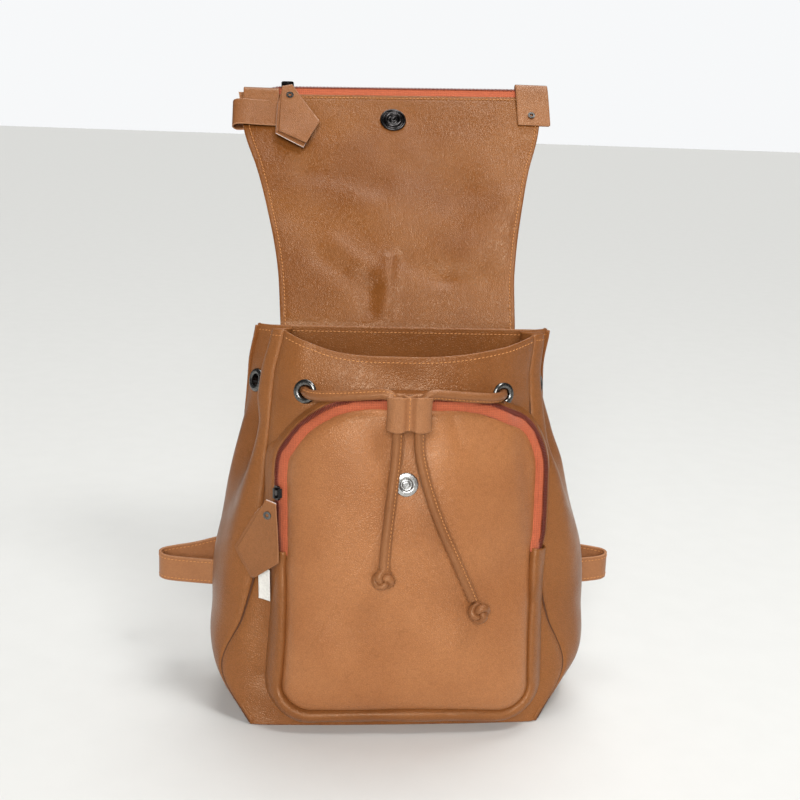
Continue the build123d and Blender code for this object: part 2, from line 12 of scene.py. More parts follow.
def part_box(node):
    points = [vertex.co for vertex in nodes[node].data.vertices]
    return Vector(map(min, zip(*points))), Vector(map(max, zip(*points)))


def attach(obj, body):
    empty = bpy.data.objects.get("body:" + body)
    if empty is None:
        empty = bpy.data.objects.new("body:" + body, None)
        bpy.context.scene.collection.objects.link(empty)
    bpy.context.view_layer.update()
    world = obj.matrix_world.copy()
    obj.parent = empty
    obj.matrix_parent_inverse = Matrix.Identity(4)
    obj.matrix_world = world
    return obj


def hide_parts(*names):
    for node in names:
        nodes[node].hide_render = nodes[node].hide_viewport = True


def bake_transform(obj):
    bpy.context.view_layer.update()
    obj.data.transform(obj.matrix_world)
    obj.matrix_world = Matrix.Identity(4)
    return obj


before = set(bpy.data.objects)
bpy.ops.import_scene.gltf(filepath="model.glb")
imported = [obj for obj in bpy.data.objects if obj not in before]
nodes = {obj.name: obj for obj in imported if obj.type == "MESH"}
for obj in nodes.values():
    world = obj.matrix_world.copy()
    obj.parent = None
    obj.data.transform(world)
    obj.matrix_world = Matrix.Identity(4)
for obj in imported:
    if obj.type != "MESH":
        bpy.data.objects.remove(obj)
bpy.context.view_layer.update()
MM = 0.001


# ---------------------------------------------------------------- numbers and curves
def unit(v):
    v = np.asarray(v, float)
    return v / np.maximum(np.linalg.norm(v, axis=-1, keepdims=True), 1e-9)


def smoothstep(low, high, x):
    t = np.clip((np.asarray(x, float) - low) / (high - low), 0, 1)
    return t * t * (3 - 2 * t)


def curve(knots, rows, x):
    """A smooth curve through rows of numbers, read at x."""
    knots, rows, x = (np.asarray(v, float) for v in (knots, rows, x))
    slope = np.gradient(rows, knots, axis=0)
    i = np.clip(np.searchsorted(knots, x, side="right") - 1, 0, len(knots) - 2)
    h = knots[i + 1] - knots[i]
    t = np.clip((x - knots[i]) / h, 0, 1)
    if rows.ndim == 2:
        h, t = h[..., None], t[..., None]
    return ((2 * t ** 3 - 3 * t ** 2 + 1) * rows[i] + (t ** 3 - 2 * t ** 2 + t) * h * slope[i]
            + (3 * t ** 2 - 2 * t ** 3) * rows[i + 1] + (t ** 3 - t ** 2) * h * slope[i + 1])


def resample(rows, pitch=0.0, count=0):
    """Rows evenly spaced along the line that their first three columns make."""
    rows = np.asarray(rows, float)
    run = np.r_[0, np.cumsum(np.linalg.norm(np.diff(rows[:, :3], axis=0), axis=1))]
    count = count or max(2, int(round(run[-1] / pitch)) + 1)
    at = np.linspace(0, run[-1], count)
    return np.stack([np.interp(at, run, column) for column in rows.T], axis=1)


def grid_normals(grid, closed=False):
    """Normals of a grid of points: along axis 0 crossed with along axis 1."""
    if closed:
        along = np.roll(grid, -1, axis=0) - np.roll(grid, 1, axis=0)
    else:
        along = np.gradient(grid, axis=0)
    return unit(np.cross(along, np.gradient(grid, axis=1)))


NEAR_EDGE = np.array([0.0, 0.8, 2.0, 3.5, 5.5, 8.0])


def edge_rows(count, length):
    """Shares from 0 to 1 of a length, with rows close together at both ends."""
    near = NEAR_EDGE / length
    middle = np.linspace(near[-1], 1 - near[-1], count)[1:-1]
    return np.r_[near, middle, 1 - near[::-1]]


def ripple(p, wavelength, seed):
    """Smooth, repeatable unevenness from about -1 to 1 at points in millimetres."""
    draw = np.random.default_rng(seed)
    total = np.zeros(p.shape[:-1])
    for _ in range(7):
        direction = unit(draw.normal(size=3))
        phase = draw.uniform(0, 2 * math.pi)
        stretch = draw.uniform(0.7, 1.5)
        total += np.sin(p @ direction * (2 * math.pi / (wavelength * stretch)) + phase)
    return total / 3.2


def node_middle(name):
    low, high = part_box(name)
    return np.array((low + high) / 2) / MM


def beside(name, across, up):
    """A place on the front: millimetres across and up from a node's middle."""
    middle = node_middle(name)
    return middle[0] + across, middle[2] + up


def within(name, across, up):
    """A place on the front: shares of a node's box across and up."""
    low, high = (np.array(corner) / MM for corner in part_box(name))
    return low[0] + (high[0] - low[0]) * across, low[2] + (high[2] - low[2]) * up


def folds(a, b, lines):
    """Height from soft ridges, and valleys where it is below zero: (start, end, half width, height)."""
    total = np.zeros(np.broadcast(a, b).shape)
    for (a0, b0), (a1, b1), half_width, height in lines:
        da, db = a1 - a0, b1 - b0
        along = np.clip(((a - a0) * da + (b - b0) * db) / (da * da + db * db), 0, 1)
        off = (a - a0 - along * da) ** 2 + (b - b0 - along * db) ** 2
        total = total + height * np.exp(-off / half_width ** 2)
    return total


# ---------------------------------------------------------------- meshes
def add_mesh(name, verts, faces, materials, body=None, raw_from=None, stands_for=()):
    """An object from millimetre vertices; faces from raw_from on take the second material."""
    mesh = bpy.data.meshes.new(name)
    mesh.from_pydata((np.asarray(verts) * MM).tolist(), [], [list(map(int, f)) for f in faces])
    for material in materials:
        mesh.materials.append(material)
    mesh.polygons.foreach_set("use_smooth", np.full(len(mesh.polygons), True))
    if raw_from is not None:
        index = np.zeros(len(mesh.polygons), int)
        index[raw_from:] = 1
        mesh.polygons.foreach_set("material_index", index)
    mesh.update()
    obj = bpy.data.objects.new(name, mesh)
    bpy.context.scene.collection.objects.link(obj)
    if body:
        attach(obj, body)
    if stands_for:
        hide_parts(*stands_for)
    return obj


def grid_faces(n, m, closed, offset=0, flip=False):
    rows = np.arange(n if closed else n - 1)
    i, j = np.meshgrid(rows, np.arange(m - 1), indexing="ij")
    k = (i + 1) % n
    quads = np.stack([i * m + j, k * m + j, k * m + j + 1, i * m + j + 1], axis=-1).reshape(-1, 4)
    return (quads[:, ::-1] if flip else quads) + offset


def thick(outer, thickness, closed=False, bulge=0.5):
    """A sheet below a grid of outer points, with rounded edges. Gives verts, faces, first edge face."""
    n, m = outer.shape[:2]
    normals = grid_normals(outer, closed)
    inner = outer - normals * thickness
    if closed:
        loops = [[(i, 0) for i in range(n)], [(i, m - 1) for i in reversed(range(n))]]
    else:
        loops = [[(i, 0) for i in range(n)] + [(n - 1, j) for j in range(1, m)]
                 + [(i, m - 1) for i in range(n - 2, -1, -1)] + [(0, j) for j in range(m - 2, 0, -1)]]
    verts = [outer.reshape(-1, 3), inner.reshape(-1, 3)]
    faces = [grid_faces(n, m, closed), grid_faces(n, m, closed, n * m, flip=True)]
    rim, base = [], 2 * n * m
    for loop in loops:
        middle = []
        for i, j in loop:
            back_i = i if closed else min(max(i, 1), n - 2)
            away = unit(outer[i, j] - outer[back_i, min(max(j, 1), m - 2)])
            middle.append((outer[i, j] + inner[i, j]) / 2 + away * bulge)
        count = len(loop)
        top = np.array([i * m + j for i, j in loop])
        here = np.arange(count)
        following = (here + 1) % count
        rim.append(np.stack([top, base + here, base + following, top[following]], axis=1))
        rim.append(np.stack([base + here, top + n * m, top[following] + n * m, base + following], axis=1))
        verts.append(np.array(middle))
        base += count
    faces += rim
    return np.vstack(verts), np.vstack(faces), 2 * len(faces[0])


def sheet(name, outer, thickness, material, body=None, closed=False, raw=None, bulge=0.5,
          stands_for=()):
    """A leather sheet as an object; raw is the material of its cut edge."""
    verts, faces, edge = thick(outer, thickness, closed, bulge)
    materials = [material] + ([raw] if raw else [])
    return add_mesh(name, verts, faces, materials, body, edge if raw else None, stands_for)


def capsule(sides=6):
    """A rounded bead along x, two units long, wide and high."""
    stations = [(-0.78, 0.66), (-0.3, 1.0), (0.3, 1.0), (0.78, 0.66)]
    verts = [(-1, 0, 0)]
    for x, r in stations:
        verts += [(x, r * math.cos(2 * math.pi * k / sides), r * math.sin(2 * math.pi * k / sides))
                  for k in range(sides)]
    verts.append((1, 0, 0))
    faces = [(0, 1 + (k + 1) % sides, 1 + k) for k in range(sides)]
    for ring in range(len(stations) - 1):
        a = 1 + ring * sides
        faces += [(a + k, a + (k + 1) % sides, a + sides + (k + 1) % sides, a + sides + k)
                  for k in range(sides)]
    a, last = 1 + (len(stations) - 1) * sides, len(verts) - 1
    faces += [(a + k, a + (k + 1) % sides, last) for k in range(sides)]
    return np.array(verts, float), faces


BEAD_VERTS, BEAD_FACES = capsule()


def beads(path, normals, pitch, size, skew=0.0, lift=0.0):
    """Beads along a path on a surface: stitches or zip teeth. size is along, across and high."""
    normals = np.broadcast_to(normals, np.shape(path))
    rows = resample(np.hstack([path, normals]), pitch)
    middle, up = rows[:, :3], unit(rows[:, 3:])
    along = unit(np.gradient(middle, axis=0))
    side = unit(np.cross(up, along))
    along = along * math.cos(skew) + side * math.sin(skew)
    side = unit(np.cross(up, along))
    frames = np.stack([along * size[0] / 2, side * size[1] / 2, up * size[2] / 2], axis=1)
    verts = (middle + up * lift)[:, None] + np.einsum("vk,nkc->nvc", BEAD_VERTS, frames)
    count = len(BEAD_VERTS)
    faces = [[v + i * count for v in face] for i in range(len(rows)) for face in BEAD_FACES]
    return verts.reshape(-1, 3), faces


def bead_object(name, runs, material, body=None, stands_for=()):
    """Several runs of beads as one object."""
    verts, faces, base = [], [], 0
    for run_verts, run_faces in runs:
        verts.append(run_verts)
        faces += [[v + base for v in face] for face in run_faces]
        base += len(run_verts)
    return add_mesh(name, np.vstack(verts), faces, [material], body, stands_for=stands_for)


STITCH = (2.5, 0.75, 0.6)
STITCH_PITCH = 3.3


def stitches(path, normals, lift=0.12):
    return beads(path, normals, STITCH_PITCH, STITCH, skew=0.14, lift=lift)


# ---------------------------------------------------------------- materials
def ramp(tree, source, low, high, dark, light):
    """A colour or height that goes from dark to light as source goes from low to high."""
    node = tree.nodes.new("ShaderNodeMapRange")
    node.interpolation_type = "SMOOTHSTEP"
    for name, value in (("From Min", low), ("From Max", high), ("To Min", dark), ("To Max", light)):
        node.inputs[name].default_value = value
    tree.links.new(source, node.inputs["Value"])
    return node.outputs["Result"]


def mix_colour(tree, factor, a, b):
    node = tree.nodes.new("ShaderNodeMix")
    node.data_type = "RGBA"
    sockets = {"Factor": factor, "A": a, "B": b}
    for socket in node.inputs:
        if socket.name in sockets and socket.enabled:
            value = sockets[socket.name]
            if isinstance(value, (tuple, list)):
                socket.default_value = (*value[:3], 1)
            elif isinstance(value, float):
                socket.default_value = value
            else:
                tree.links.new(value, socket)
    return [o for o in node.outputs if o.enabled][0]


def maths(tree, operation, a, b):
    node = tree.nodes.new("ShaderNodeMath")
    node.operation = operation
    for socket, value in zip(node.inputs, (a, b)):
        if isinstance(value, float):
            socket.default_value = value
        else:
            tree.links.new(value, socket)
    return node.outputs[0]


def noise(tree, place, scale, detail=2.0):
    node = tree.nodes.new("ShaderNodeTexNoise")
    node.inputs["Scale"].default_value = scale
    node.inputs["Detail"].default_value = detail
    tree.links.new(place, node.inputs["Vector"])
    return node.outputs["Fac"]


def new_material(name, rough=0.5, metallic=0.0, specular=0.5):
    material = bpy.data.materials.new(name)
    material.use_nodes = True
    tree = material.node_tree
    shader = tree.nodes["Principled BSDF"]
    shader.inputs["Roughness"].default_value = rough
    shader.inputs["Metallic"].default_value = metallic
    shader.inputs["Specular IOR Level"].default_value = specular
    place = tree.nodes.new("ShaderNodeTexCoord").outputs["Object"]
    return material, tree, shader, place


def set_bump(tree, shader, height, depth):
    """Bump of a depth in metres."""
    node = tree.nodes.new("ShaderNodeBump")
    node.inputs["Strength"].default_value = 1.0
    node.inputs["Distance"].default_value = depth
    tree.links.new(height, node.inputs["Height"])
    tree.links.new(node.outputs["Normal"], shader.inputs["Normal"])


def leather(name, light, dark, grain=1.6, depth=0.12):
    """Pebbled leather: rounded cells of the grain size in mm, between fine creases darkened as painted shade.
    """
    material, tree, shader, place = new_material(name)
    warp = tree.nodes.new("ShaderNodeTexNoise")
    warp.inputs["Scale"].default_value = 420.0 / grain
    tree.links.new(place, warp.inputs["Vector"])
    shift = tree.nodes.new("ShaderNodeVectorMath")
    shift.operation = "MULTIPLY_ADD"
    tree.links.new(warp.outputs["Color"], shift.inputs[0])
    shift.inputs[1].default_value = (0.0011 * grain,) * 3
    tree.links.new(place, shift.inputs[2])
    cells = tree.nodes.new("ShaderNodeTexVoronoi")
    cells.feature = "DISTANCE_TO_EDGE"
    cells.inputs["Scale"].default_value = 1000.0 / grain
    tree.links.new(shift.outputs[0], cells.inputs["Vector"])
    dome = ramp(tree, cells.outputs["Distance"], 0.0, 0.36, 0.0, 1.0)
    height = maths(tree, "ADD", dome, maths(tree, "MULTIPLY", noise(tree, place, 2600.0), 0.1))
    set_bump(tree, shader, height, depth * MM)
    broad = ramp(tree, noise(tree, place, 14.0, 3.0), 0.3, 0.7, 0.0, 1.0)
    colour = mix_colour(tree, broad, dark, light)
    # Painted shade: the colour darkens in the fine creases between grain cells; the fine noise below is a
    # random tone.
    crease_shade = ramp(tree, cells.outputs["Distance"], 0.0, 0.16, 0.80, 1.0)
    fine = ramp(tree, noise(tree, place, 320.0), 0.3, 0.7, 0.95, 1.03)
    shade = maths(tree, "MULTIPLY", crease_shade, fine)
    scaled = tree.nodes.new("ShaderNodeVectorMath")
    scaled.operation = "SCALE"
    tree.links.new(colour, scaled.inputs[0])
    tree.links.new(shade, scaled.inputs["Scale"])
    tree.links.new(scaled.outputs[0], shader.inputs["Base Color"])
    tree.links.new(ramp(tree, noise(tree, place, 60.0), 0.3, 0.7, 0.28, 0.38), shader.inputs["Roughness"])
    shader.inputs["Specular IOR Level"].default_value = 0.5
    shader.inputs["Specular Tint"].default_value = (1.0, 0.72, 0.50, 1)
    return material


def woven(name, light, dark, thread):
    """Cloth with threads of a width in mm crossing each other."""
    material, tree, shader, place = new_material(name, 0.75, specular=0.3)
    heights = []
    for direction in ("X", "Z"):
        wave = tree.nodes.new("ShaderNodeTexWave")
        wave.bands_direction = direction
        wave.inputs["Scale"].default_value = 1000.0 / thread / 20.0 * 3.14159
        wave.inputs["Distortion"].default_value = 0.6
        tree.links.new(place, wave.inputs["Vector"])
        heights.append(wave.outputs["Fac"])
    height = maths(tree, "MAXIMUM", *heights)
    set_bump(tree, shader, height, 0.12 * MM)
    uneven = maths(tree, "MULTIPLY", height, noise(tree, place, 500.0))
    tree.links.new(mix_colour(tree, ramp(tree, uneven, 0.1, 0.6, 0.0, 1.0), dark, light),
                   shader.inputs["Base Color"])
    shader.inputs["Sheen Weight"].default_value = 0.2
    return material


def metal(name, light, dark, rough=(0.18, 0.34)):
    """Plated metal with faint wear."""
    material, tree, shader, place = new_material(name, metallic=1.0)
    wear = ramp(tree, noise(tree, place, 700.0, 4.0), 0.35, 0.7, 0.0, 1.0)
    tree.links.new(mix_colour(tree, wear, dark, light), shader.inputs["Base Color"])
    tree.links.new(ramp(tree, noise(tree, place, 1500.0), 0.3, 0.7, *rough), shader.inputs["Roughness"])
    set_bump(tree, shader, noise(tree, place, 900.0), 0.00002)
    return material


def plain(name, light, dark, scale, rough, depth=0.05):
    """Thread, raw leather edge, board or floor: two close colours in fine noise."""
    material, tree, shader, place = new_material(name, rough, specular=0.3)
    spots = noise(tree, place, scale, 3.0)
    tree.links.new(mix_colour(tree, ramp(tree, spots, 0.3, 0.7, 0.0, 1.0), dark, light),
                   shader.inputs["Base Color"])
    set_bump(tree, shader, spots, depth * MM)
    return material


BODY_LEATHER = leather("body_leather", (0.262, 0.094, 0.026), (0.212, 0.071, 0.018))
# A lighter copy of the body leather for the pocket face: painted light and sheen.
POCKET_LIT_LEATHER = leather("pocket_painted_light_leather", (0.390, 0.155, 0.056), (0.325, 0.120, 0.040))
PALE_LEATHER = leather("pale_leather", (0.36, 0.152, 0.062), (0.30, 0.12, 0.047), 1.3, 0.09)
# A darker copy of the leather for the flap's inner ply: painted shade.
FLAP_SHADED_LEATHER = leather("flap_painted_shade_leather", (0.215, 0.072, 0.014), (0.172, 0.052, 0.009))
TRIM_LEATHER = leather("trim_leather", (0.268, 0.105, 0.038), (0.22, 0.082, 0.028), 1.3, 0.09)
CORD_LEATHER = leather("cord_leather", (0.29, 0.115, 0.042), (0.235, 0.088, 0.031), 1.2, 0.08)
THREAD = plain("thread", (0.62, 0.28, 0.095), (0.50, 0.20, 0.06), 2500.0, 0.6)
RAW_EDGE = plain("raw_edge", (0.70, 0.52, 0.40), (0.58, 0.40, 0.28), 1200.0, 0.8)
TRIM_EDGE = plain("trim_edge", (0.42, 0.20, 0.095), (0.32, 0.14, 0.06), 1200.0, 0.7)
PALE_EDGE = plain("pale_edge", (0.78, 0.70, 0.66), (0.66, 0.52, 0.46), 900.0, 0.85)
# Painted shade: the dark brown of the ribbon deep in the front seams' grooves.
SEAM_SHADE = plain("seam_shade", (0.115, 0.044, 0.018), (0.085, 0.03, 0.012), 800.0, 0.7)
ZIP_TAPE = woven("zip_tape_cloth", (0.46, 0.105, 0.040), (0.35, 0.074, 0.028), thread=0.9)
ZIP_TEETH = plain("zip_teeth", (0.19, 0.042, 0.026), (0.13, 0.026, 0.016), 1500.0, 0.38)
LINING = woven("lining_cloth", (0.30, 0.17, 0.10), (0.22, 0.12, 0.07), thread=0.6)
LABEL = woven("label_cloth", (0.80, 0.78, 0.72), (0.62, 0.60, 0.55), thread=0.5)
GUNMETAL = metal("gunmetal", (0.060, 0.056, 0.055), (0.035, 0.032, 0.032), rough=(0.14, 0.24))
PALE_GUNMETAL = metal("pale_gunmetal", (0.20, 0.20, 0.19), (0.11, 0.105, 0.10))
SILVER = metal("silver", (0.56, 0.555, 0.54), (0.42, 0.415, 0.40), rough=(0.22, 0.32))
BOARD = plain("board", (0.05, 0.045, 0.04), (0.035, 0.03, 0.028), 300.0, 0.7)

KEPT = {
    PALE_GUNMETAL: ["grommet_front_left", "grommet_front_right", "grommet_side_left", "grommet_side_right",
                    "flap_rivets", "flap_pull_eyelet", "pocket_pull_eyelet"],
    GUNMETAL: ["flap_zip_slider", "pocket_zip_slider", "strap_adjuster_left",
               "strap_adjuster_right"],
    BOARD: ["base_board"],
}
for material, names in KEPT.items():
    for name in names:
        for place in range(len(nodes[name].material_slots)):
            nodes[name].material_slots[place].material = material


# ---------------------------------------------------------------- camera
def place_camera(azimuth, elevation, distance, roll, aim, lens):
    """A camera looking at aim, in metres, from azimuth and elevation, turned by roll."""
    a, e, r = (math.radians(v) for v in (azimuth, elevation, roll))
    back = np.array([math.sin(a) * math.cos(e), -math.cos(a) * math.cos(e), math.sin(e)])
    right = unit(np.cross(-back, (0, 0, 1)))
    up = np.cross(back, right)
    turned = [right * math.cos(r) + up * math.sin(r), up * math.cos(r) - right * math.sin(r), back]
    data = bpy.data.cameras.new("camera")
    data.lens = lens
    data.sensor_width = 36.0
    camera = bpy.data.objects.new("camera", data)
    bpy.context.scene.collection.objects.link(camera)
    matrix = np.eye(4)
    matrix[:3, :3] = np.array(turned).T
    matrix[:3, 3] = np.array(aim) + back * distance
    camera.matrix_world = Matrix(matrix.tolist())
    bpy.context.scene.camera = camera


place_camera(azimuth=-5.5, elevation=14.0, distance=0.960, roll=2.1, aim=(0.0002, 0.0, 0.2536), lens=54.0)


# ---------------------------------------------------------------- body shape
# At each height: front corner x, y, the front's middle y, then x, y of the side's fold ridge, its
# fold valley, its rear bulge and the back corner.
PROFILE_Z = [0, 36, 85, 130, 180, 228, 265, 316]
PROFILE = np.array([
    (117, -58, -61, 117, -30, 117, 0, 117, 28, 117, 52),
    (140, -40, -65, 149, -22, 152, 3, 148, 28, 136, 50),
    (124, -40, -68, 146, -24, 156, 4, 150, 30, 132, 48),
    (113, -38, -67, 140, -24, 153, 6, 148, 30, 131, 45),
    (108, -34, -63, 130, -22, 135, 6, 142, 28, 129, 41),
    (105, -28, -57, 118, -17, 113, 5, 129, 23, 125, 36),
    (102, -23, -51, 112, -12, 103, 4, 115, 20, 122, 33),
    (98, -19, -44, 106, -9, 91, 4, 105, 18, 120, 30)], float)
LEATHER_T = 2.0
FRONT_CORNER_Z = 312.0
BACK_RIM_Z = 307.0
LINING_TOP_Z = 245.0
RIM_STITCH = 4.2
POCKET_DEPTH = 15.0
# the leather's lower edges, so that their rounding ends on the floor
FOOT_Z = 0.7
POCKET_X = 6.0
# Slack leather: valleys beside the pocket and over its foot's corners, a dip along the mouth.
FRONT_FOLDS = [
    (beside("grommet_front_right", 15, -15), beside("grommet_front_right", 30, -110), 9, -4.5),
    (beside("grommet_front_left", -15, -50), beside("grommet_front_left", -20, -130), 9, -3.0),
    (within("pocket_face", -0.06, 0.45), within("pocket_face", -0.06, 0.10), 14, -6.0),
    (within("pocket_face", 1.02, 0.35), within("pocket_face", 1.04, 0.10), 10, -3.0),
    (beside("grommet_front_left", 5, 35), (0, 280), 13, -2.4),
    (beside("grommet_front_left", -8, 35), beside("grommet_front_left", -8, -10), 10, 1.8),
    (beside("grommet_front_right", 0, 35), beside("grommet_front_right", 5, 0), 10, 1.8)]


def profile(z):
    return curve(PROFILE_Z, PROFILE, z)


def lean_x(z):
    """How far the bag leans to the right at a height."""
    return 4.5 * smoothstep(275, 312, z)


def front_y(x, z):
    """Outer face of the front panel, with its soft folds."""
    rows = profile(z)
    share = np.clip(np.abs(x) / rows[..., 0], 0, 1)
    y = rows[..., 1] + (rows[..., 2] - rows[..., 1]) * (1 - share ** 3)
    return y - folds(x, z, FRONT_FOLDS)


RIM_X = [-98, -80, -60, -42, -10, 20, 50, 78, 98]
RIM_Z = [312, 306, 300.5, 298.4, 298, 298.6, 301.5, 306.5, 311.5]


def seam_tuck(to_seam):
    """How far leather turns in at a seam, by the distance to it."""
    return 4.2 * np.exp(-to_seam / 2.0)


def front_grid(n=90, m=110):
    """The front panel from its left seam to its right seam and from the base to the rim."""
    across = edge_rows(n, length=210.0) * 2 - 1
    up = edge_rows(m, length=300.0)
    top = curve(RIM_X, RIM_Z, across * 98)
    z = FOOT_Z + up[None, :] * (top[:, None] - FOOT_Z)
    x = across[:, None] * profile(z)[..., 0]
    grid = np.stack([x, front_y(x, z), z], axis=-1)
    return grid + np.array([0, 1, 0]) * seam_tuck((1 - np.abs(across)) * 105)[:, None, None]


def side_weights(shares):
    """How much each of the five outline points of a gusset counts at a share of its width."""
    return curve(np.linspace(0, 1, 5), np.eye(5), shares)


def gusset_points(shares, z):
    """Points on the right gusset: shares of its width by heights."""
    rows = profile(z)
    points = np.stack([rows[..., [0, 1]], rows[..., [3, 4]], rows[..., [5, 6]], rows[..., [7, 8]],
                       rows[..., [9, 10]]], axis=-2)
    xy = np.einsum("nk,nmkc->nmc", side_weights(shares), points)
    return np.concatenate([xy, z[..., None]], axis=-1)


def side_rim(y):
    return np.interp(y, [-19, 40], [FRONT_CORNER_Z, BACK_RIM_Z])


def fullness(sign, shares, z):
    """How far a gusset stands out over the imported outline: the left one hangs slimmer."""
    middle = np.sin(math.pi * shares)[:, None] * smoothstep(0, 45, z)
    if sign > 0:
        return 4.5 * middle * (1 - smoothstep(195, 228, z))
    return -7.0 * middle * (1 - smoothstep(235, 262, z))


def gusset_grid(sign, z_low=None, z_high=None, n=70, m=90):
    """A gusset, or the base's wing below it when z_high is given."""
    shares = edge_rows(n, length=110.0)
    up = edge_rows(m, length=260.0 if z_high is None else 40.0)
    if z_high is None:
        guess = gusset_points(shares, np.full((len(shares), 1), 310.0))[:, 0]
        top = side_rim(guess[:, 1])
    else:
        top = np.full(len(shares), z_high)
    z = z_low + (top[:, None] - z_low) * up[None, :]
    grid = gusset_points(shares, z)
    out = grid_normals(grid)
    grid = grid - out * seam_tuck(np.minimum(shares, 1 - shares) * 110)[:, None, None]
    grid[..., 0] += fullness(sign, shares, z)
    return grid if sign > 0 else mirrored(grid)


def mirrored(grid):
    """The same grid on the left, with its outer side still outside."""
    return (grid * np.array([-1, 1, 1]))[::-1]


def leaning(grid):
    moved = np.array(grid, float)
    moved[..., 0] += lean_x(moved[..., 2])
    return moved


WING_Z = 36.0


def cut_holes(obj, places):
    """Round holes through a sheet: (centre, direction, radius) in millimetres."""
    for centre, direction, radius in places:
        z = unit(direction)
        x = unit(np.cross(z, (0, 0, 1)))
        y = np.cross(z, x)
        matrix = np.eye(4)
        matrix[:3, :3] = np.stack([x, y, z], axis=1)
        matrix[:3, 3] = np.array(centre) * MM
        bpy.ops.mesh.primitive_cylinder_add(vertices=32, radius=radius * MM, depth=0.02)
        cutter = bpy.context.object
        cutter.matrix_world = Matrix(matrix.tolist())
        modifier = obj.modifiers.new("hole", "BOOLEAN")
        modifier.object = cutter
        modifier.operation = "DIFFERENCE"
        modifier.solver = "EXACT"
        bpy.context.view_layer.update()
        graph = bpy.context.evaluated_depsgraph_get()
        cut = bpy.data.meshes.new_from_object(obj.evaluated_get(graph))
        obj.modifiers.remove(modifier)
        obj.data = cut
        bpy.data.objects.remove(cutter)


front_panel = sheet("front_leather", leaning(front_grid()), LEATHER_T, BODY_LEATHER, "bag",
                    stands_for=["front_panel"])
cut_holes(front_panel, [(node_middle(f"grommet_front_{side}"), (sign * 0.32, -0.93, 0.15), 5.6)
                        for side, sign in (("left", -1), ("right", 1))])
for side, sign in (("left", -1), ("right", 1)):
    gusset = sheet(f"gusset_leather_{side}", leaning(gusset_grid(sign, WING_Z)), LEATHER_T, BODY_LEATHER,
                   "bag", stands_for=[f"gusset_{side}"])
    cut_holes(gusset, [(node_middle(f"grommet_side_{side}"), (sign * 0.62, -0.78, 0.1), 5.6)])
    sheet(f"base_wing_{side}", gusset_grid(sign, FOOT_Z, WING_Z, 60, 16), LEATHER_T, BODY_LEATHER,
          "bag", stands_for=["base_panel"])


def seam_shade_ribbon(sign):
    """A dark ribbon deep in the groove of a front seam: painted shade where the turned edges meet."""
    z = np.linspace(2, 303, 90)
    rows = profile(z)
    corner = np.stack([sign * rows[:, 0], rows[:, 1], z], axis=1)
    out = unit(np.array([sign * 0.72, -0.69, 0.0]))
    path = corner - out * 2.1
    grid = path[:, None] + np.linspace(-0.9, 0.9, 4)[None, :, None] * np.array([sign * 0.69, 0.72, 0.0])
    grid = grid[::-1] if sign > 0 else grid
    return leaning(grid)


# Painted shade: a dark ribbon along each front seam's groove.
for side, sign in (("left", -1), ("right", 1)):
    sheet(f"front_seam_{side}", seam_shade_ribbon(sign), 0.4, SEAM_SHADE, "bag", bulge=0.1)


def back_grid(n=60, m=80):
    across = edge_rows(n, length=250.0) * 2 - 1
    up = edge_rows(m, length=300.0)
    z = np.broadcast_to(FOOT_Z + up[None, :] * (BACK_RIM_Z - FOOT_Z), (len(across), len(up)))
    rows = profile(z)
    x = across[:, None] * rows[..., 9]
    bulge = 3.0 * (1 - across[:, None] ** 2) * smoothstep(0, 80, z) * (1 - smoothstep(230, 300, z))
    y = rows[..., 10] + bulge - 2.0 * np.exp(-(1 - np.abs(across[:, None])) * 125 / 2.2)
    return np.stack([x, y, z], axis=-1)[::-1]


sheet("back_leather", leaning(back_grid()), LEATHER_T, BODY_LEATHER, "bag",
      stands_for=["back_panel"])


def base_grid(n=40, m=24):
    across = np.linspace(-1, 1, n)
    depth = np.linspace(0, 1, m)
    x = across[:, None] * 116.0 + 0 * depth
    y_front = front_y(x, np.full_like(x, 1.0)) + 1.5
    y = y_front + (50.5 - y_front) * depth[None, :]
    return np.stack([x, y, np.full_like(x, 2.2)], axis=-1)


sheet("base_leather", base_grid(), LEATHER_T, BODY_LEATHER, "bag", bulge=0.1,
      stands_for=["base_panel"])


def lining_grid(n=150, m=50):
    """The lining hangs a little inside the leather, with soft vertical folds."""
    share = np.linspace(0, 1, n // 2)
    z = np.broadcast_to(np.linspace(7, LINING_TOP_Z, m), (n // 2, m))
    right, left = gusset_points(share, z), gusset_points(share, z)
    left[..., 0] += fullness(-1, share, z)
    half = np.linspace(-1, 1, n // 3)[1:-1]
    zf = np.broadcast_to(np.linspace(7, LINING_TOP_Z, m), (len(half), m))
    xf = half[:, None] * profile(zf)[..., 0]
    front = np.stack([xf, front_y(xf, zf), zf], axis=-1)
    xb = half[:, None] * profile(zf)[..., 9]
    back = np.stack([xb, profile(zf)[..., 10], zf], axis=-1)[::-1]
    loop = np.concatenate([front, right, back, mirrored(left)])
    inward = grid_normals(loop, closed=True)
    gap = 4.2 + 1.2 * ripple(loop * np.array([1, 1, 0.25]), 45, 5)
    sewn = smoothstep(215, 243, loop[..., 2])
    return loop - inward * (gap * (1 - sewn) + 2.3 * sewn)[..., None]


sheet("lining_cloth", lining_grid(), 0.6, LINING, "bag", closed=True, stands_for=["lining_bag"])


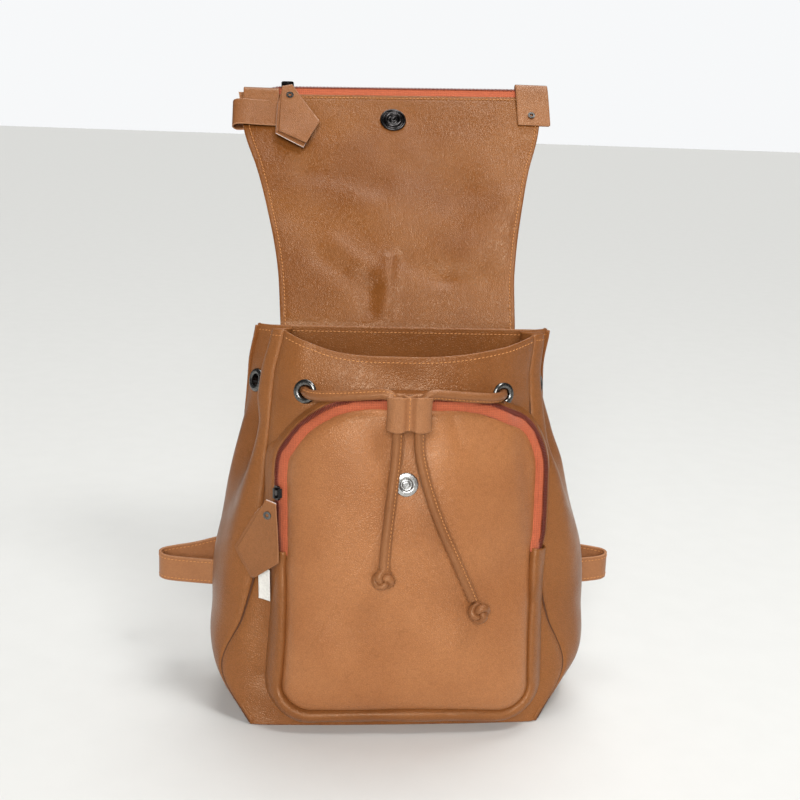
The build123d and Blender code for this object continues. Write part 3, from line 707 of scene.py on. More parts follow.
# ---------------------------------------------------------------- front pocket
def rounded_outline(corners, radii, count):
    """A closed outline with rounded corners, evenly sampled from the middle of its first side."""
    corners = [np.array(c, float) for c in corners]
    line = [(corners[0] + corners[1]) / 2]
    for k in range(1, len(corners) + 1):
        before, here, after = corners[k - 1], corners[k % len(corners)], corners[(k + 1) % len(corners)]
        radius = radii[k % len(corners)]
        a, b = unit(before - here), unit(after - here)
        half = math.acos(np.clip(a @ b, -1, 1)) / 2
        reach = radius / math.tan(half)
        centre = here + unit(a + b) * radius / math.sin(half)
        start, end = here + a * reach - centre, here + b * reach - centre
        turn = math.atan2(start[0] * end[1] - start[1] * end[0], start @ end)
        for t in np.linspace(0, turn, 13):
            c, s = math.cos(t), math.sin(t)
            line.append(centre + np.array([c * start[0] - s * start[1], s * start[0] + c * start[1]]))
    line.append(line[0])
    line = np.array(line)
    return resample(np.c_[line, np.zeros(len(line))], count=count + 1)[:-1, :2]


def pocket_outline(y, count=400):
    """The pocket's outline where it passes a depth."""
    k = (-20 - y) / 80
    low, high = 122 - 38 * k, 107 - 33 * k
    foot_z, top_z = -18 + 54 * k, 268 - 10 * k
    return rounded_outline([(-low, foot_z), (low, foot_z), (high, top_z), (-high, top_z)],
                           [22, 22, 60, 60], count)


def face_outline(count=400):
    """The pocket face's edge, from the middle of its foot round to the right."""
    depths = np.linspace(-40, -90, 11)
    stack = np.array([pocket_outline(y, count) for y in depths])
    y = np.full(count, -75.0)
    for _ in range(8):
        share = np.clip((depths[0] - y) / 5.0, 0, 9.999)
        i = share.astype(int)
        t = (share - i)[:, None]
        points = stack[i, np.arange(count)] * (1 - t) + stack[i + 1, np.arange(count)] * t
        y = front_y(points[:, 0] + POCKET_X, points[:, 1]) - POCKET_DEPTH
    return points + np.array([POCKET_X, 0.0])


EDGE = face_outline()
EDGE_OUT = unit(np.stack([np.roll(EDGE, -1, 0)[:, 1] - np.roll(EDGE, 1, 0)[:, 1],
                          np.roll(EDGE, 1, 0)[:, 0] - np.roll(EDGE, -1, 0)[:, 0]], axis=1))
ZIP_END_Z = 145.0
ZIP_PART = [i for i in range(400) if EDGE[i, 1] > ZIP_END_Z]
ROLL_PART = list(range(max(ZIP_PART) + 1 - 2, 400)) + list(range(0, min(ZIP_PART) + 2))


def around_pocket(part, section):
    """A grid along part of the pocket's edge: section rows are (outwards, forwards) from the panel."""
    base, out = EDGE[part], EDGE_OUT[part]
    section = np.asarray(section, float)
    if section.ndim == 2:
        section = np.broadcast_to(section, (len(part),) + section.shape)
    xz = base[:, None] + out[:, None] * section[..., 0:1]
    y = front_y(xz[..., 0], xz[..., 1]) - section[..., 1]
    return np.stack([xz[..., 0], y, xz[..., 1]], axis=-1)


def fine_section(rows, count=24):
    rows = np.array(rows, float)
    run = np.r_[0, np.cumsum(np.linalg.norm(np.diff(rows, axis=0), axis=1))]
    return curve(run, rows, np.linspace(0, run[-1], count))


# The filled pocket is hollow towards its upper right and under the toggle, and full at the foot.
POCKET_FOLDS = [
    (within("pocket_face", 0.75, 0.9), within("pocket_face", 0.9, 0.5), 26, -5.0),
    (within("pocket_face", 0.65, 0.2), within("pocket_face", 0.85, 0.1), 32, 4.0),
    (within("pocket_face", 0.15, 0.25), within("pocket_face", 0.3, 0.1), 24, 2.4),
    (within("pocket_face", 0.25, 0.85), within("pocket_face", 0.25, 0.5), 30, 1.8),
    (within("pocket_face", 0.35, 0.35), within("pocket_face", 0.5, 0.2), 18, -1.6),
    (beside("toggle", 35, -8), beside("toggle", 40, -25), 4, -1.0),
    (beside("toggle", -11, -27), beside("toggle", 11, -27), 15, -3.6)]
SNAP_AT = node_middle("pocket_snap")[[0, 2]]


def pocket_face_grid(rings=76):
    """The pocket's face, domed, from under its snap out to its turned edge."""
    reach = 1 - edge_rows(rings, length=130.0)[::-1]
    reach = np.unique(np.clip(reach, 0.01, 1))[::-1]
    spokes = EDGE - SNAP_AT
    xz = SNAP_AT + spokes[:, None] * reach[None, :, None]
    x, z = xz[..., 0], xz[..., 1]
    to_edge = (1 - reach)[None, :] * np.sum(spokes * EDGE_OUT, axis=1)[:, None]
    flat = 1 - np.exp(-((x - SNAP_AT[0]) ** 2 + (z - SNAP_AT[1]) ** 2) / 17.0 ** 2)
    puff = 3.2 * (1 - np.exp(-to_edge / 22.0)) * flat - 4.6 * np.exp(-to_edge / 2.2)
    y = front_y(x, z) - POCKET_DEPTH - puff - folds(x, z, POCKET_FOLDS)
    return np.stack([x, y, z], axis=-1)


grid = pocket_face_grid()
# The pocket face takes the lighter copy of the leather: painted light and sheen.
sheet("pocket_face_leather", grid, 1.6, POCKET_LIT_LEATHER, "bag", closed=True,
      stands_for=["pocket_face"])

ROLL = [(0.0, 9.4), (0.9, 11.2), (3.2, 14.0), (6.6, 13.8), (9.6, 11.0), (11.4, 7.2), (11.6, 3.6),
        (10.6, 0.6)]
roll_grid = around_pocket(ROLL_PART, fine_section(ROLL))
roll_grid += grid_normals(roll_grid) * (0.5 * ripple(roll_grid, 40, 3))[..., None]
sheet("pocket_roll_leather", roll_grid, 1.4, BODY_LEATHER, "bag",
      stands_for=["pocket_gusset"])

FLANGE = [(8.4, 6.0), (9.2, 7.4), (10.6, 6.6), (12.6, 4.2), (14.6, 2.2), (15.8, 0.9)]
on_left = smoothstep(0.8, 1.0, -EDGE_OUT[ZIP_PART][:, 0])
flange_rows = np.repeat(fine_section(FLANGE, 14)[None], len(ZIP_PART), axis=0)
flange_rows[..., 0] = 8.4 + (flange_rows[..., 0] - 8.4) * (0.3 + 0.7 * on_left[:, None])
flange_grid = around_pocket(ZIP_PART, flange_rows)
sheet("pocket_flange_leather", flange_grid, 1.2, BODY_LEATHER, "bag")
TAPE = [(-1.6, 10.4), (0.4, 11.2), (3.0, 11.4), (5.4, 10.2), (7.4, 8.2), (9.2, 6.2)]
tape_grid = around_pocket(ZIP_PART, fine_section(TAPE, 14))
tape_grid += grid_normals(tape_grid) * (0.35 * ripple(tape_grid, 14, 11))[..., None]
sheet("pocket_tape_cloth", tape_grid, 0.7, ZIP_TAPE, "bag", stands_for=["pocket_zip_tape"])
COIL_AT = (7.3, 10.2)
coil_line = around_pocket(ZIP_PART, [COIL_AT, COIL_AT])[:, 0]
coil_up = unit(np.stack([EDGE_OUT[ZIP_PART][:, 0] * 0.5, np.full(len(ZIP_PART), -0.87),
                         EDGE_OUT[ZIP_PART][:, 1] * 0.5], axis=1))
bead_object("pocket_coil_teeth", [beads(coil_line, coil_up, 1.25, (0.95, 5.0, 3.2))],
            ZIP_TEETH, "bag", stands_for=["pocket_zip_coil"])


# ---------------------------------------------------------------- flap
FLAP_LEAN = math.radians(38.0)
FLAP_HINGE = (33.8, 309.5)
FLAP_T = [0, 50, 100, 150, 187, 236]
FLAP_HALF = [96, 99, 107, 118, 129, 136]
ROOT_SPLIT_T = 58.0
INNER_END_T = 228.3
OUTER_END_T = 236.0
FLAP_SNAP_T = 201.0
# The flap's middle line from behind the back panel, round its root and out along its lean.
ROOT_T = [-30, -19, -8, 0, 7, 14, 300]
ROOT_YZ = [(33.5, 279.6), (32.9, 290.5), (32.3, 301.5), (33.9, 309.3)] + [
    (FLAP_HINGE[0] + t * math.sin(FLAP_LEAN), FLAP_HINGE[1] + t * math.cos(FLAP_LEAN)) for t in (7, 14, 300)]



def flap_half(t):
    return curve(FLAP_T, FLAP_HALF, t)


def on_flap(across, along):
    """A place on the flap in eighths: of its half width from its middle, and of its length from its root."""
    t = along / 8 * FLAP_T[-1]
    return across / 8 * float(flap_half(t)), t


# The flap is pinched at its root, and thrown back it buckles across its lower half.
FLAP_FOLDS = [
    (on_flap(-1, 0), on_flap(-0.5, 2), 7, 2.2),
    (on_flap(-2, 0), on_flap(-2, 1.5), 8, -1.6),
    (on_flap(-5, 2), on_flap(-2, 1), 10, -1.8),
    (on_flap(-4, 2.5), on_flap(-1.5, 1.5), 9, 1.4),
    (on_flap(0.5, 2), on_flap(3, 1.5), 10, -2.0),
    (on_flap(3, 1.5), on_flap(6, 1.5), 11, -1.6),
    (on_flap(5, 2), on_flap(7, 4), 19, 3.0),
    (on_flap(-5, 5), on_flap(-1, 4.5), 15, -2.4),
    (on_flap(-1, 3.5), on_flap(1, 5.5), 14, 1.8),
    (on_flap(1, 5), on_flap(4, 4.5), 16, -1.6)]


def flap_point(x, t, n):
    """A point on the flap: across, away from the hinge, and out of its inner side."""
    x, t, n = (np.array(v, float) for v in np.broadcast_arrays(x, t, n))
    n += flap_swell(x, t)
    middle = curve(ROOT_T, ROOT_YZ, t)
    along = unit(curve(ROOT_T, ROOT_YZ, t + 0.4) - curve(ROOT_T, ROOT_YZ, t - 0.4))
    return np.stack([x, middle[..., 0] - n * along[..., 1], middle[..., 1] + n * along[..., 0]], axis=-1)


def flap_swell(x, t):
    """Soft unevenness of the flap, none at its root, so that both plies follow it."""
    p = np.stack([x, t, np.zeros_like(t)], axis=-1)
    soft = 1.1 * ripple(p, 70, 21) + 0.35 * ripple(p, 28, 22)
    bends = folds(x, t, FLAP_FOLDS) * smoothstep(-2, 14, t)
    return (soft * smoothstep(8, 60, t) + bends) * (1 - smoothstep(200, 226, t))


def far_shift(x):
    """How far the flap's far edge moves from its middle: up to the right, down at the left corner."""
    return 8 / 272 * x - 5.0 * smoothstep(98, 120, -x)


FLAP_OUT = np.array([0, -math.cos(FLAP_LEAN), math.sin(FLAP_LEAN)])


def blend_flap(obj):
    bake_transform(obj)


def flap_bare(x, t, n=0.0):
    s, c = math.sin(FLAP_LEAN), math.cos(FLAP_LEAN)
    return np.array([x, FLAP_HINGE[0] + t * s - n * c, FLAP_HINGE[1] + t * c + n * s])


def flap_ply(name, t_low, t_high, n_out, side, replaced):
    """One ply of the flap over part of its length; side is 1 for the inner ply."""
    across = edge_rows(130, length=240.0) * 2 - 1
    share = np.linspace(0, 1, int((t_high - t_low) / 2.0))
    free_end = t_high > 200
    t = t_low + (t_high - t_low) * (1 - (1 - share) ** 1.25 if free_end else share)
    half = flap_half(np.maximum(t, 0))
    x = across[:, None] * half[None, :]
    to_edge = (1 - np.abs(across))[:, None] * half[None, :]
    to_end = t_high - t if free_end else 40.0 + 0 * t
    near = np.minimum(to_edge, to_end[None, :])
    groove = 0.45 * np.exp(-((near - 4.0) / 1.3) ** 2) + 0.5 * np.exp(-near / 0.9)
    slant = share[None, :] * far_shift(x) if free_end else 0.0
    grid = flap_point(x, t[None, :] + slant, side * (n_out - groove))
    if side < 0:
        grid = grid[::-1]
    # The inner ply takes the darker copy of the leather: painted shade.
    material = FLAP_SHADED_LEATHER if side > 0 else BODY_LEATHER
    ply = sheet(name, grid, 1.1, material, raw=RAW_EDGE, bulge=0.25)
    places = np.array([v.co for v in ply.data.vertices]) / MM - np.array([0, *FLAP_HINGE])
    at_split = np.abs(places @ np.array([0, math.sin(FLAP_LEAN), math.cos(FLAP_LEAN)]) - ROOT_SPLIT_T) < 0.05
    for edge in ply.data.edges:
        edge.use_edge_sharp = bool(at_split[list(edge.vertices)].all())
    blend_flap(ply)
    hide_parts(*replaced)
    return ply


flap_ply("flap_inner_root", -29.0, ROOT_SPLIT_T, 1.3, 1, ["flap_inner_top", "flap_anchor"])
flap_ply("flap_outer_root", -29.0, ROOT_SPLIT_T, 1.3, -1, ["flap_outer_top", "flap_anchor"])
flap_ply("flap_inner_end", ROOT_SPLIT_T, INNER_END_T, 1.3, 1, ["flap_inner_front", "flap_inner_top"])
flap_ply("flap_outer_end", ROOT_SPLIT_T, OUTER_END_T, 1.3, -1, ["flap_outer_front", "flap_outer_top"])


def flap_line(t_low, t_high, sign, side, inset=4.0):
    """Points along a side edge's stitching, and their normals."""
    t = np.linspace(t_low, t_high, 60)
    points = flap_point(sign * (flap_half(np.maximum(t, 0)) - inset), t, side * 1.25)
    return points, FLAP_OUT * side


for part, (low, high) in (("root", (-25.0, ROOT_SPLIT_T - 1.5)), ("end", (ROOT_SPLIT_T + 1.5, 226.0))):
    runs = []
    for side in (1, -1):
        for sign in (-1, 1):
            points, normal = flap_line(low, high, sign, side)
            runs.append(stitches(points, normal))
        if part == "end":
            across = np.linspace(-118, 118, 90)
            points = flap_point(across, INNER_END_T - 3.4 + far_shift(across), side * 1.25)
            runs.append(stitches(points, FLAP_OUT * side))
    if part == "root":
        for t in (-25.0, -8.0):
            points = flap_point(np.linspace(-92, 92, 80), t, -1.25)
            runs.append(stitches(points, (0, 1, 0)))
    blend_flap(bead_object(f"flap_thread_{part}", runs, THREAD))

FLAP_END = "flap_end_half"
TAPE_HALF, COIL_HALF, COIL_T = 112, 111, 235.3
across = np.linspace(-TAPE_HALF, TAPE_HALF, 120)
down = fine_section([(INNER_END_T - 2.0, 0.15), (INNER_END_T + 1.5, 0.5), (INNER_END_T + 4.5, 1.0),
                     (INNER_END_T + 7.0, 1.5)], 8)
tape = flap_point(across[:, None], down[None, :, 0] + far_shift(across)[:, None], down[None, :, 1])
sheet("flap_tape_cloth", tape, 0.6, ZIP_TAPE, FLAP_END, stands_for=["flap_zip_tape"])
across = np.linspace(-COIL_HALF, COIL_HALF, 200)
coil = flap_point(across, COIL_T + far_shift(across), 1.6)
bead_object("flap_coil_teeth", [beads(coil, FLAP_OUT, 1.25, (0.95, 2.6, 2.4))], ZIP_TEETH,
            FLAP_END, stands_for=["flap_zip_coil"])


def band(path, across, width):
    """A grid of a strip that follows a path, its width along across."""
    path = np.asarray(path, float)
    across = unit(np.broadcast_to(across, path.shape))
    share = np.array([0, 0.03, 0.09, 0.2, 0.5, 0.8, 0.91, 0.97, 1.0]) - 0.5
    return path[:, None] + across[:, None] * (share[None, :, None] * width)


def flap_strip(name, section, low, high, along_x, node):
    """A strip folded round the flap's edge; section is (x or t, n) from the front ply to the back."""
    rows = fine_section(section, 46)
    middle = (low + high) / 2
    if along_x:
        path = np.array([flap_bare(a, middle, n) for a, n in rows])
        across = np.array([0, math.sin(FLAP_LEAN), math.cos(FLAP_LEAN)])
    else:
        path = np.array([flap_bare(middle, a, n) for a, n in rows])
        across = np.array([-1.0, 0, 0])
    sheet(name, band(path, across, high - low), 1.2, TRIM_LEATHER, FLAP_END,
          raw=TRIM_EDGE, stands_for=[node])


flap_strip("left_loop_strip", [(-98, 2.7), (-108, 2.8), (-122, 3.4), (-133, 4.0), (-138.4, 2.6),
                               (-139.6, -0.6), (-137.6, -3.4), (-130, -3.6), (-112, -2.8), (-98, -2.7)],
           190, 216, True, "flap_left_loop")
flap_strip("left_end_strip", [(214.5, 3.9), (221, 4.4), (228.5, 4.2), (231.2, 1.6), (230.4, -1.8),
                              (225, -2.8), (215, -2.7)],
           -131, -101, False, "flap_left_end_tab")
flap_strip("right_tab_strip", [(200.5, 2.8), (211, 3.4), (226, 4.4), (238, 4.4), (244, 3.0), (245.1, 0.2),
                               (243, -2.6), (233, -2.9), (203, -2.8)],
           112, 140.5, False, "flap_right_tab")


# ---------------------------------------------------------------- zip pulls
def frame_of(origin, x_dir, z_dir, turn):
    """Columns x, y, z of a tag's own frame, turned in its plane by degrees, and its origin."""
    z = unit(z_dir)
    x = unit(np.array(x_dir, float) - z * (np.array(x_dir) @ z))
    y = np.cross(z, x)
    a = math.radians(turn)
    return np.array(origin, float), x * math.cos(a) + y * math.sin(a), y * math.cos(a) - x * math.sin(a), z


def kite(name, place, low_n, body, node, flare):
    """A two-ply kite-shaped leather pull with pale cut edges, its plies parting towards the tip."""
    origin, x_axis, y_axis, z_axis = place
    down = np.r_[2, 0.8, -1, -4, -9, np.linspace(-13, -40, 13), -41.9, -43, -44,
                 np.linspace(-47, -60, 6), -61.8]
    left = np.interp(-down, [-2, 44, 62], [-4.5, -18.5, 1.4])
    right = np.interp(-down, [-2, 42, 62], [4.5, 18.5, 1.7])
    share = np.array([0, 0.04, 0.12, 0.3, 0.5, 0.7, 0.88, 0.96, 1.0])
    x = left[None, :] + (right - left)[None, :] * share[:, None]
    y = np.broadcast_to(down, x.shape)
    for ply, (offset, sign, raw) in enumerate(((2.6, 1, TRIM_EDGE), (1.25, -1, PALE_EDGE))):
        gap = flare * smoothstep(10, 62, -y) * sign * (0.6 + 0.4 * x / 18)
        curl = 1.4 * smoothstep(20, 56, -y) ** 2 + 0.0009 * x * x * smoothstep(15, 45, -y)
        n = low_n + offset + gap * 0.5 + curl
        shift = 2.6 * ply
        x = np.where(x > 0, x * (1 - 0.14 * ply), x)
        grid = (origin + (x - shift * smoothstep(0, 16, -y))[..., None] * x_axis
                + (y - shift * 0.8 * smoothstep(30, 56, -y))[..., None] * y_axis + n[..., None] * z_axis)
        sheet(f"{name}_{'front' if ply == 0 else 'back'}", grid[:, ::-1], 1.15, TRIM_LEATHER,
              body, raw=raw, bulge=0.15, stands_for=[node])


FLAP_PULL_HINGE = (-93.0, 227.26, 7.6)       # on the flap: across, from its root, out
POCKET_PULL_HINGE = (-100.5, -59.5, 186.0)
flap_pull_place = frame_of(flap_bare(*FLAP_PULL_HINGE), (1, 0, 0), FLAP_OUT, 14)
kite("flap_pull", flap_pull_place, -1.3, "flap_pull", "flap_zip_pull", 2.6)
pocket_pull_place = frame_of(POCKET_PULL_HINGE, (0.89, -0.456, 0), (-0.456, -0.89, 0), -13)
kite("pocket_pull", pocket_pull_place, 0.0, "pocket_pull", "pocket_zip_pull", 2.2)


# ---------------------------------------------------------------- snaps
def turned_disc(name, origin, axis, rows, material, body, node):
    """A metal disc turned from rows of (radius, height) about an axis."""
    z = unit(axis)
    x = unit(np.cross((1.0, 0.2, 0.1), z))
    y = np.cross(z, x)
    angle = np.linspace(0, 2 * math.pi, 65)[:-1]
    radius, height = fine_section(rows, 60).T
    radius = np.maximum(radius, 0.01)
    ring = np.cos(angle)[:, None, None] * x + np.sin(angle)[:, None, None] * y
    grid = np.array(origin) + ring * radius[None, :, None] + height[None, :, None] * z
    add_mesh(name, grid.reshape(-1, 3), grid_faces(*grid.shape[:2], True), [material],
             body, stands_for=[node])


turned_disc("flap_snap_socket", flap_bare(0, FLAP_SNAP_T, 1.4), FLAP_OUT,
            [(11.3, 0), (11.5, 0.7), (11.0, 1.4), (10.2, 1.6), (9.6, 1.2), (9.2, 0.7), (8.2, 0.8), (7.7, 1.7),
             (7.0, 2.3), (5.6, 2.3), (4.9, 1.6), (4.5, 0.8), (2.9, 0.8), (2.5, 1.5), (1.9, 1.7),
              (1.4, 1.2), (0, 1.1)],
            GUNMETAL, FLAP_END, "flap_snap")
snap_y = float(front_y(*SNAP_AT)) - POCKET_DEPTH - 0.1
turned_disc("pocket_snap_socket", (SNAP_AT[0], snap_y, SNAP_AT[1]), (0, -1, 0.125),
            [(9.0, 0), (9.2, 0.8), (8.7, 1.5), (7.8, 1.7), (5.2, 1.7), (4.7, 1.2), (4.3, 0.5), (3.1, 0.5),
             (2.8, 1.5), (2.2, 1.8), (1.0, 1.8), (0, 1.8)], SILVER, "bag", "pocket_snap")


# ---------------------------------------------------------------- label
LABEL_AT = (-105.5, -52.8, 118)
LABEL_HALF_W, LABEL_HALF_H = 5.5, 13
LABEL_TURN = -38


def label_grid():
    """A small plain label that stands out from the pocket's side, a little curled."""
    across = np.linspace(-LABEL_HALF_W, LABEL_HALF_W, 12)
    down = np.linspace(-LABEL_HALF_H, LABEL_HALF_H, 26)
    turn = math.radians(LABEL_TURN)
    x = across[:, None] * math.cos(turn) + 0 * down
    y = across[:, None] * math.sin(turn) + 0 * down
    curl = 0.8 * np.sin(down / 9.0)[None, :] + 0.02 * across[:, None] ** 2
    return np.stack([x + LABEL_AT[0] + curl * math.sin(turn) * 0.5, y + LABEL_AT[1] - curl * 0.6,
                     LABEL_AT[2] + down[None, :] + 0 * x], axis=-1)


sheet("label_patch", label_grid(), 0.5, LABEL, "bag", bulge=0.1, stands_for=["pocket_label"])


# ---------------------------------------------------------------- drawstring
EXIT_RIGHT = (0.0755, -0.0415, 0.2691)
TAIL_TOP = [(0.0738, -0.051, 0.2696), (0.0645, -0.0605, 0.2708), (0.048, -0.0675, 0.273),
            (0.030, -0.073, 0.2756), (0.0145, -0.077, 0.2778), (0.008, -0.0785, 0.268),
            (0.008, -0.0787, 0.250)]
RIGHT_TAIL = [(0.0086, -0.0793, 0.232), (0.0155, -0.0828, 0.206), (0.026, -0.0865, 0.178),
              (0.0395, -0.0892, 0.150), (0.0525, -0.091, 0.121)]
LEFT_TAIL = [(-0.0082, -0.0792, 0.232), (-0.0104, -0.0822, 0.208), (-0.013, -0.0855, 0.182),
             (-0.0152, -0.0886, 0.158), (-0.0159, -0.0905, 0.142)]


def nurbs_line(points):
    """The smooth NURBS line of a route, in millimetres."""
    data = bpy.data.curves.new("route", "CURVE")
    data.dimensions = "3D"
    data.resolution_u = 20
    spline = data.splines.new("NURBS")
    spline.points.add(len(points) - 1)
    for point, place in zip(spline.points, points):
        point.co = (*place, 1)
    spline.order_u = 3
    spline.use_endpoint_u = True
    holder = bpy.data.objects.new("route", data)
    mesh = bpy.data.meshes.new_from_object(holder)
    line = np.array([v.co for v in mesh.vertices]) / MM
    bpy.data.objects.remove(holder)
    bpy.data.meshes.remove(mesh)
    return line


CORD_HALF_W, CORD_HALF_T = 4.1, 3.5     # drawn half width and half thickness, fullest away from the seam
SEAM_AT = 2.4                           # the thread's distance from the cord's middle


def thinning(across):
    """A cord is thinner towards its stitched edge."""
    return 1 - 0.6 * smoothstep(0.2, 3.4, across)


def leather_cord(name, route):
    """A folded and stitched leather cord along a route, with its thread."""
    line = resample(nurbs_line(route), 1.2)
    along = unit(np.gradient(line, axis=0))
    seam = unit(np.cross((0.0, -1.0, 0.0), along))
    front = unit(np.cross(along, seam))
    angle = np.linspace(0, 2 * math.pi, 21)[:-1]
    across = CORD_HALF_W * np.cos(angle)
    high = CORD_HALF_T * np.sin(angle) * thinning(across)
    rings = line[:, None] + seam[:, None] * across[None, :, None] + front[:, None] * high[None, :, None]
    m, last = len(angle), (len(line) - 1) * len(angle)
    verts = np.vstack([rings.reshape(-1, 3), line[:1], line[-1:]])
    ends = (len(verts) - 2, len(verts) - 1)
    faces = grid_faces(len(line), m, False, flip=True).tolist()
    faces += [[i * m, (i + 1) * m, (i + 1) * m + m - 1, i * m + m - 1] for i in range(len(line) - 1)]
    faces += [[k, (k + 1) % m, ends[0]] for k in range(m)]
    faces += [[last + (k + 1) % m, last + k, ends[1]] for k in range(m)]
    cord = add_mesh(name, verts, faces, [CORD_LEATHER], "bag")
    height = CORD_HALF_T * float(thinning(SEAM_AT)) * math.sqrt(1 - (SEAM_AT / CORD_HALF_W) ** 2)
    thread_line = line + seam * SEAM_AT + front * height
    thread = bead_object(f"{name}_thread", [beads(thread_line, front, 2.9, (2.1, 0.7, 0.7), 0.1)], THREAD,
                         "bag")
    return cord, thread, line


def knot(name, centre, turn, size):
    """A tight overhand knot: one closed lacing of the same cord."""
    t = np.linspace(0, 2 * math.pi, 140)
    radius = size * (3.9 + 1.9 * np.cos(3 * t))
    loop = np.stack([radius * np.cos(2 * t), -2.5 * size * np.sin(3 * t), radius * 0.95 * np.sin(2 * t)],
                    axis=1)
    c, s = math.cos(turn), math.sin(turn)
    loop = loop @ np.array([[c, 0, s], [0, 1, 0], [-s, 0, c]])
    line = loop + np.array(centre)
    along = unit(np.roll(line, -1, 0) - np.roll(line, 1, 0))
    radial = unit(line - line.mean(axis=0))
    a = unit(radial - along * np.sum(radial * along, axis=1, keepdims=True))
    b = np.cross(along, a)
    radius, angle = 3.0 * size, np.linspace(0, 2 * math.pi, 15)[:-1]
    rings = (line[:, None] + a[:, None] * (0.82 * radius * np.cos(angle))[None, :, None]
             + b[:, None] * (radius * np.sin(angle))[None, :, None])[:-1]
    n, m = rings.shape[:2]
    faces = [[i * m + j, i * m + (j + 1) % m, (i + 1) % n * m + (j + 1) % m, (i + 1) % n * m + j]
             for i in range(n) for j in range(m)]
    return add_mesh(name, rings.reshape(-1, 3), faces, [CORD_LEATHER], "bag")


KNOTS = {"left": (-16.2, -91.0, 137.5), "right": (57.3, -92.0, 111.0)}
RIGHT_TOP = [EXIT_RIGHT] + TAIL_TOP
LEFT_TOP = [(-x, y, z) for x, y, z in RIGHT_TOP]
for side, route, length, sign in (("right", RIGHT_TOP + RIGHT_TAIL, 0.2446, 1),
                                  ("left", LEFT_TOP + LEFT_TAIL, 0.2156, -1)):
    cord, thread, line = leather_cord(f"drawstring_{side}", route)
    bunch = knot(f"cord_knot_{side}", KNOTS[side], 0.5 * sign, 1.12)
    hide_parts(f"cord_{side}")
    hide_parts(f"knot_{side}")

INNER_HALF = [EXIT_RIGHT, (0.0768, -0.0335, 0.2686), (0.0825, -0.015, 0.2678), (0.0825, 0.001, 0.268),
              (0.0775, 0.0145, 0.268), (0.064, 0.022, 0.268), (0.045, 0.0246, 0.2682),
              (0.020, 0.0256, 0.2685)]
inner_route = [(-x, y, z) for x, y, z in INNER_HALF] + INNER_HALF[::-1]
cord, thread, line = leather_cord("drawstring_inside", inner_route)
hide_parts("cord_inner_run")

TOGGLE_CENTRE = (0.0, -78.7, 263.0)
TOGGLE_HIGH = 26.0


def toggle_grid(n=120, m=22):
    """A leather wrap round both cords, pinched where it is stitched between them."""
    angle = np.linspace(0, 2 * math.pi, n, endpoint=False)
    c, s = np.cos(angle), np.sin(angle)
    x = 16.4 * np.sign(c) * np.abs(c) ** 0.75
    deep = 6.2 * np.sqrt(np.clip(1 - (np.clip(np.abs(x) - 8.2, 0, 8.2) / 8.3) ** 2, 0, 1))
    deep = deep * (0.42 + 0.58 * smoothstep(0.3, 5.5, np.abs(x)))
    y = np.sign(s) * deep
    y[np.abs(s) < 1e-6] = 0
    up = np.linspace(-0.5, 0.5, m)
    wave = 0.5 * np.cos(x / 16.4 * 2 * math.pi)[:, None] * (up[None, :] * 2)
    flare = 1 + 0.05 * (2 * up[None, :]) ** 2
    z = up[None, :] * TOGGLE_HIGH - wave
    return np.stack([x[:, None] * flare, y[:, None] * flare, z], axis=-1) + np.array(TOGGLE_CENTRE)


sheet("toggle_leather", toggle_grid(), 1.3, PALE_LEATHER, "cord_toggle", closed=True,
      raw=TRIM_EDGE, bulge=0.2, stands_for=["toggle"])
up = np.linspace(-11.5, 11.5, 12)
seam = np.stack([0 * up, 0 * up - 2.75, up], axis=1) + np.array(TOGGLE_CENTRE)
bead_object("toggle_thread", [stitches(seam, (0, -1, 0), 0.0)], THREAD, "cord_toggle")


# ---------------------------------------------------------------- straps
LOWER_STRAP_W, UPPER_STRAP_W, STRAP_T = 22.0, 30.0, 2.6
RUN_START = (165.0, 82.0, 91.0)
RUN_MIDDLE = (130.0, 86.0, 99.0)
RUN_END = (95.0, 90.0, 107.0)
OUT_RUN = [(112, 50.0, 85), (134, 50.6, 85), (160, 55, 85), (186, 60, 85.5), (195, 64, 86), (198, 70, 86.7),
           (195, 76, 87.4), (184, 79.8, 88.4)]
LOWER_STRAP = OUT_RUN + [RUN_START, RUN_MIDDLE, RUN_END, (79, 92, 120), (68, 93.5, 139)]
UPPER_STRAP = [(73, 96.6, 129), (63, 98, 155), (53, 96, 182), (44, 88, 208), (36, 74, 232), (31, 57, 248),
               (29, 44.5, 257), (28.3, 38.4, 264), (28.2, 36.3, 271)]


def strap_path(route, sign, upright):
    """A smooth path along a strap's route, and the direction of its width."""
    route = np.array(route, float) * np.array([sign, 1, 1])
    knots = np.arange(len(route), dtype=float)
    at = np.linspace(0, len(route) - 1, len(route) * 10)
    path = curve(knots, route, at)
    along = unit(np.gradient(path, axis=0))
    tilted = unit(np.cross((0, 1, 0), along)) * -sign
    tilted = tilted * np.where(tilted[:, 2:3] < 0, -1, 1) if upright else tilted
    standing = np.zeros((len(at), 1))
    if upright:
        standing = 1 - smoothstep(upright - 0.5, upright + 1.5, at)[:, None]
    across = tilted * (1 - standing) + np.array([0, 0, 1]) * standing
    across = unit(across - along * np.sum(across * along, axis=1, keepdims=True))
    return path, across


def leather_strap(name, route, sign, upright, width, thickness, node):
    path, across = strap_path(route, sign, upright)
    along = unit(np.gradient(path, axis=0))
    out = unit(np.cross(along, across))
    grid = band(path + out * thickness / 2, across, width)
    sheet(name, grid, thickness, PALE_LEATHER, "bag", raw=TRIM_EDGE, bulge=0.35,
          stands_for=[node])
    runs = []
    for face in (1, -1):
        for edge in (-1, 1):
            line = path + across * edge * (width / 2 - 2.6) + out * face * thickness / 2
            runs.append(stitches(line, out * face, 0.05))
    bead_object(f"{name}_thread", runs, THREAD, "bag")


